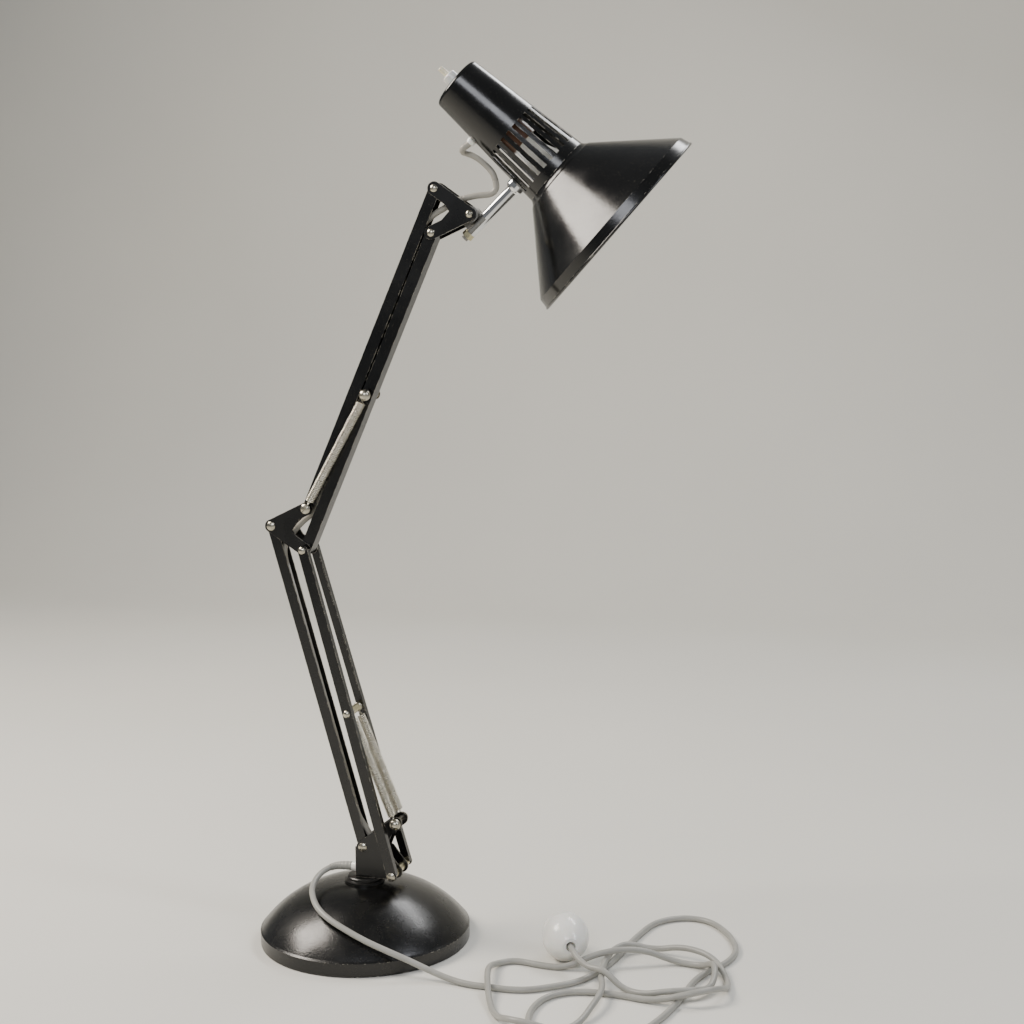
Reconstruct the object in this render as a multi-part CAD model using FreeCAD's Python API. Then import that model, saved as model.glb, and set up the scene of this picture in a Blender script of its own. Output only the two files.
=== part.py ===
import FreeCAD, Part
import math
import os

from FreeCAD import Placement, Rotation, Vector

# A spring-balanced architect desk lamp: a weighted dome base, a turning bracket, two parallelogram
# arms, a tilting knuckle and a swivelling shade. Millimetres. The origin is at the centre of the
# underside, +Z is up, and the arms lie in the XZ plane with the shade on the +X side.

# Pivot layout, seen from the side (X, Z)
REAR_FOOT = (2.0, 105.0)
LINK_STEP = (38.0, -25.0)
SPRING_POST_RISE = 54.0
LOWER_ARM_LENGTH = 365.0
LOWER_ARM_LEAN = -15.5
ELBOW_STEP = (4.0, 45.0)
UPPER_ARM_LENGTH = 365.0
UPPER_ARM_LEAN = 23.8
TILT_STEP = (41.5, 18.0)

# Base
BASE_RADIUS = 115.0
BAND_HEIGHT = 15.0
SHOULDER = 1.8
DOME_TOP = 64.0
DOME_TOP_RADIUS = 24.0
DOME_BULGE = 10.5
COVER_WALL = 1.5
PAD_THICKNESS = 1.5
PAD_MARGIN = 3.0
WEIGHT_HEIGHT = 16.0
WEIGHT_CLEARANCE = 3.0
COLLAR_RADIUS = 19.0
COLLAR_FOOT_RADIUS = 22.0
COLLAR_HEIGHT = 7.0
BUSH_RADIUS = 10.0
SWIVEL_PIN_RADIUS = 4.0
SWIVEL_PIN_DEPTH = 50.0

# Sheet parts
PLATE_THICKNESS = 2.0
PLATE_HALF_GAP = 9.0
PLATE_EAR = 7.0
SHEET = 1.2
CHANNEL_SIDE_GAP = 0.4
REAR_CHANNEL_WIDTH = 11.0
UPPER_BAR_WIDTH = 12.4
FRONT_BAR_REAR_EDGE = 5.0
FRONT_BAR_WIDTH = 11.0
FRONT_BAR_DEPTH = 7.0
FRONT_BAR_FOOT_REACH = 28.0
FRONT_BAR_TOP_GAP = 0.4
BASE_NOTCH = (26.0, 98.0)
ELBOW_NOTCH = (-71.5, 453.0)
HEAD_NOTCH = (109.5, 787.0)
BRACKET_REAR_EDGE = -6.5
FERRULE_HEIGHT = 79.0
REAR_TAB_TOP = 88.0

# Pins, screws and sleeves
PIN_RADIUS = 3.0
RUNNING = 0.06
SEAT = 0.02
BASE_FIT = 0.05
END_GAP = 0.1
SPLAY_GAP = 0.25
HEAD_HEIGHT = 2.4
SMALL_HEAD = 3.9
LARGE_HEAD = 4.8
SCREW_HEAD = 5.4
SCREW_HEAD_HEIGHT = 3.2
SCREW_SLOT = 1.2
SCREW_SLOT_DEPTH = 1.4
BALL_RADIUS = 6.2
SLEEVE_RADIUS = 4.4
NUT_RADIUS = 5.4
NUT_HEIGHT = 3.0
HEX_SOCKET_RADIUS = 1.8
HEX_SOCKET_DEPTH = 1.4

# Springs
LOWER_SPRING_RADIUS = 4.6
UPPER_SPRING_RADIUS = 5.2
SPRING_WIRE = 0.7
LOWER_SPRING_OFFSET = 11.9
UPPER_SPRING_OFFSET = 14.5
SPRING_END = 8.5
EYE_CLEARANCE = 0.4
HOOK_PLUG = 4.0

# Tilt knuckle and stem
STEM_OFFSET = 12.0
STEM_RADIUS = 6.0
STEM_WALL = 1.0
STEM_REACH = 54.0
STEM_RUNNING = 0.08
TONGUE_DROP = 14.0
TONGUE_RISE = 8.0
TONGUE_HALF_ANGLE = 68.0
KNUCKLE_RADIUS = 8.5
KNUCKLE_SIDE_GAP = 0.4
KNUCKLE_CLEARANCE = 0.5
LUG_HALF_WIDTH = 1.9
POST_RISE = 26.0
SPIGOT_RADIUS = 3.5
STEM_NUT_RADIUS = 6.2
STEM_NUT_HEIGHT = 5.0
STEM_WASHER = 1.0
SPIGOT_END = 3.0
FLANGE_RADIUS = 9.5
FLANGE_HEIGHT = 7.0
FIXING_NUT_RADIUS = 8.0
FIXING_NUT_HEIGHT = 4.0

# Head: distances run along its axis from the rear end
HEAD_DIP = 42.5
HEAD_TURN = 10.0
HOUSING_REAR_RADIUS = 27.9
HOUSING_FRONT_RADIUS = 38.3
HOUSING_LENGTH = 136.0
HOUSING_CORNER = 4.0
HEAD_WALL = 1.0
STEM_STATION = 114.0
SLOT_COUNT = 24
SLOT_START = 75.0
SLOT_END = 126.0
SLOT_WIDTH = 4.4
SLOTS_LEFT_OUT = 1
NECK_OVERLAP = 7.0
NECK_CLEARANCE = 0.1
CONE_LENGTH = 72.5
MOUTH_RADIUS = 109.6
LIP_FLARE = 2.2
LIP_LENGTH = 11.0
LIP_BEAD = 1.4
NECK_FILLET = 8.0
HOLDER_NECK_RADIUS = 7.0
HOLDER_RADIUS = 19.0
HOLDER_START = 9.0
HOLDER_END = 92.0
SOCKET_RADIUS = 13.4
SOCKET_DEPTH = 27.0
CAP_RADIUS = 13.0
CAP_LENGTH = 26.0
BULB_RADIUS = 30.0
BULB_NECK_ANGLE = 30.0
BULB_WAIST = 3.0
BULB_LENGTH = 88.0
COLLAR_NUT_RADIUS = 7.4
COLLAR_NUT_LENGTH = 10.0
BUTTON_RADIUS = 3.0
BUTTON_OUT = 10.6
BUTTON_ROOT = 6.0
BUTTON_CLEARANCE = 0.25
BUTTON_TRAVEL = 3.0
BUSH_STATION = 50.5
LEAD_BUSH_RADIUS = 5.0
LEAD_BUSH_NECK = 4.2
LEAD_BUSH_HEIGHT = 4.5
LEAD_BUSH_GAP = 0.3

# Lead and mains cord
LEAD_RADIUS = 3.2
FERRULE_RADIUS = 6.0
FERRULE_NECK = 4.6
FERRULE_LENGTH = 8.0
FERRULE_TAIL = 3.0
TUBE_START = 45.0
TUBE_END = 45.0
TUBE_OFFSET = 0.6
COIL_HEIGHT = 18.0
PLUG_CENTRE = (231.0, -18.0)
PLUG_RADIUS = 25.0
PLUG_FRONT = 20.0
PLUG_TAIL = 24.0
PLUG_TAIL_RADIUS = 8.5
PLUG_ENTRY_GAP = 2.0
PLUG_ENTRY_DEPTH = 6.0
PLUG_REST_GAP = 0.1
PLUG_HEADING = -67.0
BLADE_LENGTH = 17.0
BLADE_WIDTH = 6.3
BLADE_THICKNESS = 1.6
BLADE_SPREAD = 8.0

ALONG_Y = Vector(0, 1, 0)
ALONG_Z = Vector(0, 0, 1)

# Where the lead passes from one moving part to the next: a point and its heading there
ELBOW_CROSSING = Vector(-70.0, 0, 454.0)
ELBOW_HEADING = Vector(0.68, 0, 0.733)
FORK_CROSSING = Vector(122.0, 0, 800.2)
FORK_HEADING = Vector(0.978, 0, 0.208)
LOOP_CROSSING = Vector(156.4, -0.3, 817.4)
LOOP_HEADING = Vector(-0.230, -0.101, 0.968)


# Derived pivots
def step(start, offset):
    """The point that lies at the given offset from another, both as (X, Z)."""
    return (start[0] + offset[0], start[1] + offset[1])


def polar(length, lean):
    """The (X, Z) offset of a length that leans from the vertical, in degrees towards +X."""
    return (length * math.sin(math.radians(lean)), length * math.cos(math.radians(lean)))


FRONT_FOOT = step(REAR_FOOT, LINK_STEP)
SPRING_POST = step(FRONT_FOOT, (0.5, SPRING_POST_RISE))
ELBOW_REAR = step(REAR_FOOT, polar(LOWER_ARM_LENGTH, LOWER_ARM_LEAN))
ELBOW_FRONT = step(FRONT_FOOT, polar(LOWER_ARM_LENGTH, LOWER_ARM_LEAN))
ELBOW_TOP = step(ELBOW_FRONT, ELBOW_STEP)
MIDDLE_PIN = step(FRONT_FOOT, polar(LOWER_ARM_LENGTH / 2, LOWER_ARM_LEAN))
UPPER_SPRING_PIN = step(ELBOW_FRONT, polar(UPPER_ARM_LENGTH / 2, UPPER_ARM_LEAN))
HEAD_LOW = step(ELBOW_FRONT, polar(UPPER_ARM_LENGTH, UPPER_ARM_LEAN))
HEAD_TOP = step(ELBOW_TOP, polar(UPPER_ARM_LENGTH, UPPER_ARM_LEAN))
TILT_PIVOT = step(HEAD_LOW, TILT_STEP)

PLATE_OUTER = PLATE_HALF_GAP + PLATE_THICKNESS
CHANNEL_HALF = PLATE_HALF_GAP - CHANNEL_SIDE_GAP
FRONT_BAR_TOP_REACH = PLATE_OUTER + FRONT_BAR_TOP_GAP + FRONT_BAR_DEPTH
FRONT_BAR_MIDDLE_REACH = (FRONT_BAR_FOOT_REACH + FRONT_BAR_TOP_REACH) / 2
COLLAR_TOP = DOME_TOP + COLLAR_HEIGHT
BRACKET_FLOOR = COLLAR_TOP + END_GAP

TAPER = math.degrees(math.atan((HOUSING_FRONT_RADIUS - HOUSING_REAR_RADIUS) / HOUSING_LENGTH))
STEM_RISE = 90.0 - HEAD_DIP - TAPER
MOUTH_STATION = HOUSING_LENGTH + CONE_LENGTH + LIP_LENGTH
WALL_NORMAL = Vector(math.cos(math.radians(TAPER)), 0, -math.sin(math.radians(TAPER)))


def point(place, y=0.0):
    """A 3-D point from an (X, Z) place in the arm plane."""
    return Vector(place[0], y, place[1])


STEM_AXIS = Vector(math.cos(math.radians(STEM_RISE)), 0, math.sin(math.radians(STEM_RISE)))
STEM_SIDE = Vector(math.sin(math.radians(STEM_RISE)), 0, -math.cos(math.radians(STEM_RISE)))
STEM_SEAT = point(TILT_PIVOT) + STEM_SIDE * STEM_OFFSET


# Building blocks
def rod(place, radius, start, end):
    """A cylinder across the arm plane, between two Y positions."""
    return Part.makeCylinder(radius, end - start, point(place, start), ALONG_Y)


def sleeve(place, radius, bore, start, end):
    """A tube across the arm plane."""
    return rod(place, radius, start, end).cut(rod(place, bore, start - 1, end + 1))


def turned(profile):
    """A solid turned about Z from (radius, height) points joined by straight lines."""
    corners = [Vector(r, 0, z) for r, z in profile]
    return Part.Face(Part.makePolygon(corners + [corners[0]])).revolve(Vector(), ALONG_Z, 360)


def domed_head(place, radius, height, y, side):
    """A domed rivet head that stands out from y, towards side (-1 or +1)."""
    skirt = height * 0.3
    rise = height - skirt
    ball_radius = (radius ** 2 + rise ** 2) / (2 * rise)
    ball = Part.makeSphere(ball_radius, Vector(0, 0, height - ball_radius))
    head = Part.makeCylinder(radius, 2 * height).common(ball)
    head.Placement = Placement(point(place, y), Rotation(ALONG_Z, ALONG_Y * side))
    return head


def rivet(place, reach, head):
    """A pin across the plates, with a domed head outside each face."""
    pin = rod(place, PIN_RADIUS, -reach, reach)
    for side in (-1, 1):
        pin = pin.fuse(domed_head(place, head, HEAD_HEIGHT, side * reach, side))
    return pin.removeSplitter()


def capsule(start, end, radius, inner, outer):
    """A straight link with round ends, between two Y positions."""
    a = point(start, inner)
    b = point(end, inner)
    along = (b - a).normalize()
    across = along.cross(ALONG_Y) * radius
    tip_a = a - along * radius
    tip_b = b + along * radius
    edges = [
        Part.LineSegment(a + across, b + across).toShape(),
        Part.Arc(b + across, tip_b, b - across).toShape(),
        Part.LineSegment(b - across, a - across).toShape(),
        Part.Arc(a - across, tip_a, a + across).toShape(),
    ]
    return Part.Face(Part.Wire(edges)).extrude(Vector(0, outer - inner, 0))


def panel(places, inner, outer):
    """A flat panel with straight sides, between two Y positions."""
    corners = [point(place, inner) for place in places]
    face = Part.Face(Part.makePolygon(corners + [corners[0]]))
    return face.extrude(Vector(0, outer - inner, 0))


def fused(shapes):
    """One solid from shapes that overlap or share faces."""
    return shapes[0].multiFuse(shapes[1:]).removeSplitter()


def forked_plate(ends, hinge, notch, ear, inner, outer):
    """A plate with two arms that meet at a hinge end, and a V notch between the arms."""
    arms = [capsule(end, hinge, ear, inner, outer) for end in ends]
    web = panel([ends[0], hinge, ends[1], notch], inner, outer)
    return fused(arms + [web])


def drilled(shape, places, radius):
    """The shape with a round hole across the arm plane at each place."""
    for place in places:
        shape = shape.cut(rod(place, radius, -3 * PLATE_OUTER, 3 * PLATE_OUTER))
    return shape


def channel(foot, length, lean, width, half_depth, opening):
    """A U-section arm with round ends: its web is in line with the arm and it opens to one side."""
    top = step(foot, polar(length, lean))
    blank = capsule(foot, top, width / 2, -half_depth, half_depth)
    across = polar(1.0, lean + 90)
    near = -opening * (width / 2 - SHEET)
    far = opening * width
    ends = []
    for offset in (near, far):
        for reach in (-width, length + width):
            sideways = (across[0] * offset, across[1] * offset)
            ends.append(step(step(foot, polar(reach, lean)), sideways))
    hollow = panel([ends[0], ends[1], ends[3], ends[2]], -half_depth + SHEET, half_depth - SHEET)
    return drilled(blank.cut(hollow), [foot, top], PIN_RADIUS + RUNNING)


# Base
def dome_outline(inset):
    """Half of the base's section, moved inwards by an inset, from the rim to the axis."""
    foot = Vector(BASE_RADIUS - inset, 0, 0)
    band = Vector(BASE_RADIUS - inset, 0, BAND_HEIGHT - inset * 0.4)
    shoulder = Vector(BASE_RADIUS - SHOULDER - inset, 0, BAND_HEIGHT + SHOULDER - inset * 0.6)
    crown = Vector(DOME_TOP_RADIUS, 0, DOME_TOP - inset)
    chord = crown - shoulder
    bulge = shoulder + chord * 0.5 + Vector(-chord.z, 0, chord.x).normalize() * -DOME_BULGE
    axis_top = Vector(0, 0, DOME_TOP - inset)
    edges = [
        Part.LineSegment(Vector(), foot).toShape(),
        Part.LineSegment(foot, band).toShape(),
        Part.LineSegment(band, shoulder).toShape(),
        Part.Arc(shoulder, bulge, crown).toShape(),
        Part.LineSegment(crown, axis_top).toShape(),
        Part.LineSegment(axis_top, Vector()).toShape(),
    ]
    return Part.Face(Part.Wire(edges)).revolve(Vector(), ALONG_Z, 360)


def base_cover():
    """Pressed steel dome with an upright rim band, open underneath."""
    cover = dome_outline(0).cut(dome_outline(COVER_WALL))
    bore = Part.makeCylinder(BUSH_RADIUS + BASE_FIT, 2 * DOME_TOP)
    floor = Part.makeCylinder(2 * BASE_RADIUS, PAD_THICKNESS / 2)
    return cover.cut(bore).cut(floor)


def base_weight():
    """Cast-iron disc that fills the lower part of the cover and carries the pivot bush."""
    radius = BASE_RADIUS - COVER_WALL - WEIGHT_CLEARANCE
    foot = PAD_THICKNESS
    slope = WEIGHT_HEIGHT * 0.3
    disc = turned([(0, foot), (radius, foot), (radius, foot + BAND_HEIGHT * 0.6),
                   (radius - slope * 3, foot + WEIGHT_HEIGHT), (0, foot + WEIGHT_HEIGHT)])
    return disc.cut(Part.makeCylinder(BUSH_RADIUS + BASE_FIT, DOME_TOP))


def base_pad():
    """Felt disc under the weight: the face that the lamp stands on."""
    return Part.makeCylinder(BASE_RADIUS - COVER_WALL - PAD_MARGIN, PAD_THICKNESS)


def pivot_bush():
    """Steel socket through the middle of the base, in which the bracket's pin turns."""
    height = DOME_TOP - PAD_THICKNESS
    body = Part.makeCylinder(BUSH_RADIUS, height, Vector(0, 0, PAD_THICKNESS))
    bore_floor = COLLAR_TOP - SWIVEL_PIN_DEPTH - 2.0
    bore = Part.makeCylinder(SWIVEL_PIN_RADIUS + RUNNING, DOME_TOP, Vector(0, 0, bore_floor))
    return body.cut(bore)


def hub_collar():
    """Stepped black collar on top of the dome, under the turning bracket."""
    step_height = COLLAR_HEIGHT * 0.35
    bore = SWIVEL_PIN_RADIUS + 5 * RUNNING
    return turned([(bore, DOME_TOP), (COLLAR_FOOT_RADIUS, DOME_TOP),
                   (COLLAR_FOOT_RADIUS, DOME_TOP + step_height),
                   (COLLAR_RADIUS, DOME_TOP + step_height + 1.0),
                   (COLLAR_RADIUS, COLLAR_TOP - 1.0), (COLLAR_RADIUS - 1.0, COLLAR_TOP),
                   (bore, COLLAR_TOP)])


# Turning bracket
def swivel_pin():
    """Steel pin set flush in the bracket's floor; it turns in the base's bush."""
    foot = COLLAR_TOP - SWIVEL_PIN_DEPTH
    top = BRACKET_FLOOR + PLATE_THICKNESS
    return Part.makeCylinder(SWIVEL_PIN_RADIUS, top - foot, Vector(0, 0, foot))


def bracket_side(inner, outer):
    """One side of the turning bracket: two front ears with a notch between them."""
    floor = BRACKET_FLOOR
    ear = PLATE_EAR
    rear = BRACKET_REAR_EDGE
    shapes = [
        capsule(REAR_FOOT, SPRING_POST, ear, inner, outer),
        capsule(BASE_NOTCH, FRONT_FOOT, ear, inner, outer),
        panel([(rear, floor), (rear, REAR_FOOT[1]), REAR_FOOT, SPRING_POST, BASE_NOTCH, FRONT_FOOT,
               (FRONT_FOOT[0], floor)], inner, outer),
    ]
    return fused(shapes)


def base_bracket():
    """Bent steel bracket: two side plates, a floor and a rear tab for the cord bush."""
    sides = [bracket_side(-PLATE_OUTER, -PLATE_HALF_GAP), bracket_side(PLATE_HALF_GAP, PLATE_OUTER)]
    rear = BRACKET_REAR_EDGE
    floor = Part.makeBox(FRONT_FOOT[0] - rear - 10, 2 * PLATE_OUTER, PLATE_THICKNESS,
                         Vector(rear, -PLATE_OUTER, BRACKET_FLOOR))
    tab = Part.makeBox(PLATE_THICKNESS, 2 * PLATE_OUTER, REAR_TAB_TOP - BRACKET_FLOOR,
                       Vector(rear, -PLATE_OUTER, BRACKET_FLOOR))
    bracket = fused(sides + [floor, tab])
    bracket = drilled(bracket, [REAR_FOOT, FRONT_FOOT, SPRING_POST], PIN_RADIUS + SEAT)
    bracket = bracket.cut(Part.makeCylinder(SWIVEL_PIN_RADIUS + SEAT, 2 * COLLAR_TOP))
    hole = Part.makeCylinder(FERRULE_NECK + SEAT, 4 * PLATE_THICKNESS,
                             Vector(rear - PLATE_THICKNESS, 0, FERRULE_HEIGHT), Vector(1, 0, 0))
    return bracket.cut(hole)


def spacers(place, reaches, radius):
    """Sleeves on a long pin, one for each pair of Y positions."""
    parts = [sleeve(place, radius, PIN_RADIUS + SEAT, start, end) for start, end in reaches]
    return Part.makeCompound(parts)


def front_pin_spacers():
    """Three sleeves on the front foot pin: between the plates, and out to each front bar."""
    inside = PLATE_HALF_GAP - END_GAP
    near = PLATE_OUTER + END_GAP
    far = FRONT_BAR_FOOT_REACH - SHEET - SPLAY_GAP
    return spacers(FRONT_FOOT, [(-far, -near), (-inside, inside), (near, far)], SLEEVE_RADIUS)


def ball_pin(place, reach):
    """A long pin with a half ball outside each spring."""
    pin = rod(place, PIN_RADIUS, -reach, reach)
    for side in (-1, 1):
        ball = Part.makeSphere(BALL_RADIUS, point(place, side * reach))
        pin = pin.fuse(ball.cut(rod(place, 2 * BALL_RADIUS, -reach, reach)))
    return pin.removeSplitter()


def past_eye(offset):
    """How far a pin reaches before its head when a spring's eye sits at the given offset."""
    return offset + SPRING_WIRE + EYE_CLEARANCE


def bush_on_axis(outer_radius, neck_radius, outer_length, tail_length, bore):
    """A round bush along Z: its flange stands above z = 0 and its neck hangs below."""
    body = turned([(0, -tail_length), (neck_radius, -tail_length), (neck_radius, 0), (outer_radius, 0),
                   (outer_radius, outer_length * 0.35), (neck_radius, outer_length), (0, outer_length)])
    return body.cut(Part.makeCylinder(bore, 4 * outer_length, Vector(0, 0, -2 * outer_length)))


def cord_ferrule():
    """White bush in the bracket's rear tab, where the mains cord goes in."""
    bush = bush_on_axis(FERRULE_RADIUS, FERRULE_NECK, FERRULE_LENGTH, FERRULE_TAIL,
                        LEAD_RADIUS + SEAT)
    bush.Placement = Placement(Vector(BRACKET_REAR_EDGE, 0, FERRULE_HEIGHT),
                               Rotation(ALONG_Z, Vector(-1, 0, 0)))
    return bush


# Arms
def front_bar(side):
    """One L-section bar of the lower arm: face outside, flange along its front edge."""
    reach = FRONT_BAR_FOOT_REACH
    rear = -FRONT_BAR_REAR_EDGE
    front = FRONT_BAR_WIDTH - FRONT_BAR_REAR_EDGE
    length = LOWER_ARM_LENGTH
    face = Part.makeBox(FRONT_BAR_WIDTH, SHEET, length, Vector(rear, reach - SHEET, 0))
    ends = [Part.makeCylinder(FRONT_BAR_REAR_EDGE, SHEET, Vector(0, reach - SHEET, z), ALONG_Y)
            for z in (0, length)]
    nose = front - FRONT_BAR_REAR_EDGE
    tips = [Part.makeCylinder(FRONT_BAR_REAR_EDGE, SHEET, Vector(nose, reach - SHEET, z), ALONG_Y)
            for z in (0, length)]
    flange = Part.makeBox(SHEET, FRONT_BAR_DEPTH, length, Vector(front - SHEET, reach - FRONT_BAR_DEPTH, 0))
    bar = fused([face, flange] + ends + tips)
    splay = math.degrees(math.atan((reach - FRONT_BAR_TOP_REACH) / length))
    bar.rotate(Vector(0, reach, 0), Vector(1, 0, 0), splay)
    if side < 0:
        bar = bar.mirror(Vector(), ALONG_Y)
    bar.rotate(Vector(), ALONG_Y, LOWER_ARM_LEAN)
    bar.translate(point(FRONT_FOOT))
    bar = drilled(bar, [FRONT_FOOT, ELBOW_FRONT], PIN_RADIUS + RUNNING)
    return drilled(bar, [MIDDLE_PIN], PIN_RADIUS + SEAT)


def middle_spacers():
    """Sleeves on the middle pin that leave room for the two spring eyes."""
    eye = SPRING_WIRE + EYE_CLEARANCE
    inside = LOWER_SPRING_OFFSET - eye
    near = LOWER_SPRING_OFFSET + eye
    far = FRONT_BAR_MIDDLE_REACH - SHEET - SPLAY_GAP
    return spacers(MIDDLE_PIN, [(-far, -near), (-inside, inside), (near, far)], SLEEVE_RADIUS)


def rear_channel():
    """Rear member of the lower arm: a U channel that opens forwards and holds the lead."""
    return channel(REAR_FOOT, LOWER_ARM_LENGTH, LOWER_ARM_LEAN, REAR_CHANNEL_WIDTH, CHANNEL_HALF, 1)


def upper_bar_rear():
    """Rear member of the upper arm: it opens towards the front bar and holds the lead."""
    return channel(ELBOW_TOP, UPPER_ARM_LENGTH, UPPER_ARM_LEAN, UPPER_BAR_WIDTH, CHANNEL_HALF, 1)


def upper_bar_front():
    """Front member of the upper arm, which carries the spring pin."""
    bar = channel(ELBOW_FRONT, UPPER_ARM_LENGTH, UPPER_ARM_LEAN, UPPER_BAR_WIDTH, CHANNEL_HALF, -1)
    return drilled(bar, [UPPER_SPRING_PIN], PIN_RADIUS + SEAT)


# Springs: a close-wound coil drawn as a tube, between pins at a start and an end
def spring_line(start, end, y):
    """The centres of both pins and the unit vector from the first to the second."""
    first = point(start, y)
    second = point(end, y)
    return first, second, (second - first).normalize()


def spring_coil(start, end, radius, y, open_end):
    """The coil's tube, closed at its start, and closed or open at its end."""
    first, second, along = spring_line(start, end, y)
    length = (second - first).Length - 2 * SPRING_END
    foot = first + along * SPRING_END
    wall = 2 * SPRING_WIRE
    bore_length = length if open_end else length - 2 * wall
    bore = Part.makeCylinder(radius - wall, bore_length, foot + along * wall, along)
    return Part.makeCylinder(radius, length, foot, along).cut(bore)


def wire_eye(centre, inwards):
    """A wire ring round a pin, with a straight shank towards the coil."""
    ring = PIN_RADIUS + EYE_CLEARANCE + SPRING_WIRE
    shank = Part.makeCylinder(SPRING_WIRE, SPRING_END - ring + SPRING_WIRE, centre + inwards * ring,
                              inwards)
    return Part.makeTorus(ring, SPRING_WIRE, centre, ALONG_Y).fuse(shank)


def lower_spring(y):
    """Lower arm's spring, from the post on the bracket to the bars' middle pin."""
    first, second, along = spring_line(SPRING_POST, MIDDLE_PIN, y)
    coil = spring_coil(SPRING_POST, MIDDLE_PIN, LOWER_SPRING_RADIUS, y, False)
    return fused([coil, wire_eye(first, along), wire_eye(second, along * -1)])


def upper_spring(y):
    """Upper arm's spring, hung on the elbow screw; its far end is open for the hook's plug."""
    first, second, along = spring_line(ELBOW_TOP, UPPER_SPRING_PIN, y)
    coil = spring_coil(ELBOW_TOP, UPPER_SPRING_PIN, UPPER_SPRING_RADIUS, y, True)
    return fused([coil, wire_eye(first, along)])


def upper_spring_hooks():
    """Both hooks at the far ends of the upper springs, each with a plug held in the coil."""
    hooks = []
    for y in (-UPPER_SPRING_OFFSET, UPPER_SPRING_OFFSET):
        first, second, along = spring_line(ELBOW_TOP, UPPER_SPRING_PIN, y)
        plug_radius = UPPER_SPRING_RADIUS - 2 * SPRING_WIRE - RUNNING
        inwards = along * -1
        plug = Part.makeCylinder(plug_radius, HOOK_PLUG, second + inwards * SPRING_END, inwards)
        hooks.append(fused([wire_eye(second, inwards), plug]))
    return Part.makeCompound(hooks)


# Elbow
def elbow_plate(inner, outer):
    """Forked elbow plate with three ears."""
    plate = forked_plate([ELBOW_TOP, ELBOW_FRONT], ELBOW_REAR, ELBOW_NOTCH, PLATE_EAR, inner, outer)
    return drilled(plate, [ELBOW_REAR, ELBOW_FRONT, ELBOW_TOP], PIN_RADIUS + SEAT)


def elbow_screw():
    """Slotted screw through the top ear: it carries the upper springs and is held by a nut."""
    reach = past_eye(UPPER_SPRING_OFFSET)
    screw = rod(ELBOW_TOP, PIN_RADIUS, -reach, reach)
    head = domed_head(ELBOW_TOP, SCREW_HEAD, SCREW_HEAD_HEIGHT, -reach, -1)
    slot = Part.makeBox(4 * SCREW_HEAD, SCREW_SLOT_DEPTH + 1, SCREW_SLOT)
    slot.translate(Vector(-2 * SCREW_HEAD, -SCREW_SLOT_DEPTH - 1, -SCREW_SLOT / 2))
    slot.rotate(Vector(), ALONG_Y, -50)
    slot.translate(point(ELBOW_TOP, -reach - SCREW_HEAD_HEIGHT + SCREW_SLOT_DEPTH))
    nut = hexagon(NUT_RADIUS, NUT_HEIGHT)
    nut.Placement = Placement(point(ELBOW_TOP, reach), Rotation(ALONG_Z, ALONG_Y))
    return fused([screw, head.cut(slot), nut])


def hexagon(radius, height):
    """A hexagonal prism that stands on z = 0, with the given corner radius."""
    corners = [Vector(radius * math.cos(math.radians(a)), radius * math.sin(math.radians(a)), 0)
               for a in range(0, 360, 60)]
    return Part.Face(Part.makePolygon(corners + [corners[0]])).extrude(Vector(0, 0, height))


# Head bracket and tilt knuckle
def head_plate(inner, outer):
    """Forked plate between the upper arm and the tilt pivot."""
    plate = forked_plate([HEAD_TOP, HEAD_LOW], TILT_PIVOT, HEAD_NOTCH, PLATE_EAR, inner, outer)
    return drilled(plate, [HEAD_TOP, HEAD_LOW, TILT_PIVOT], PIN_RADIUS + SEAT)


def tilt_bolt():
    """Socket-head bolt and nut that clamp the knuckle between the plates."""
    bolt = rod(TILT_PIVOT, PIN_RADIUS, -PLATE_OUTER, PLATE_OUTER)
    head = domed_head(TILT_PIVOT, SMALL_HEAD, NUT_HEIGHT, -PLATE_OUTER, -1)
    socket = hexagon(HEX_SOCKET_RADIUS, HEX_SOCKET_DEPTH + 1)
    socket.Placement = Placement(point(TILT_PIVOT, -PLATE_OUTER - NUT_HEIGHT + HEX_SOCKET_DEPTH),
                                 Rotation(ALONG_Z, ALONG_Y * -1))
    nut = hexagon(NUT_RADIUS, NUT_HEIGHT)
    nut.Placement = Placement(point(TILT_PIVOT, PLATE_OUTER), Rotation(ALONG_Z, ALONG_Y))
    return fused([bolt, head.cut(socket), nut])


def along_stem(distance):
    """A point on the stem's axis, measured from the knuckle towards the head."""
    return STEM_SEAT + STEM_AXIS * distance


def stem_cylinder(radius, start, end):
    """A cylinder on the stem's axis."""
    return Part.makeCylinder(radius, end - start, along_stem(start), STEM_AXIS)


def stem_bore():
    """Inside radius of the stem tube."""
    return STEM_RADIUS - STEM_WALL


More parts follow.
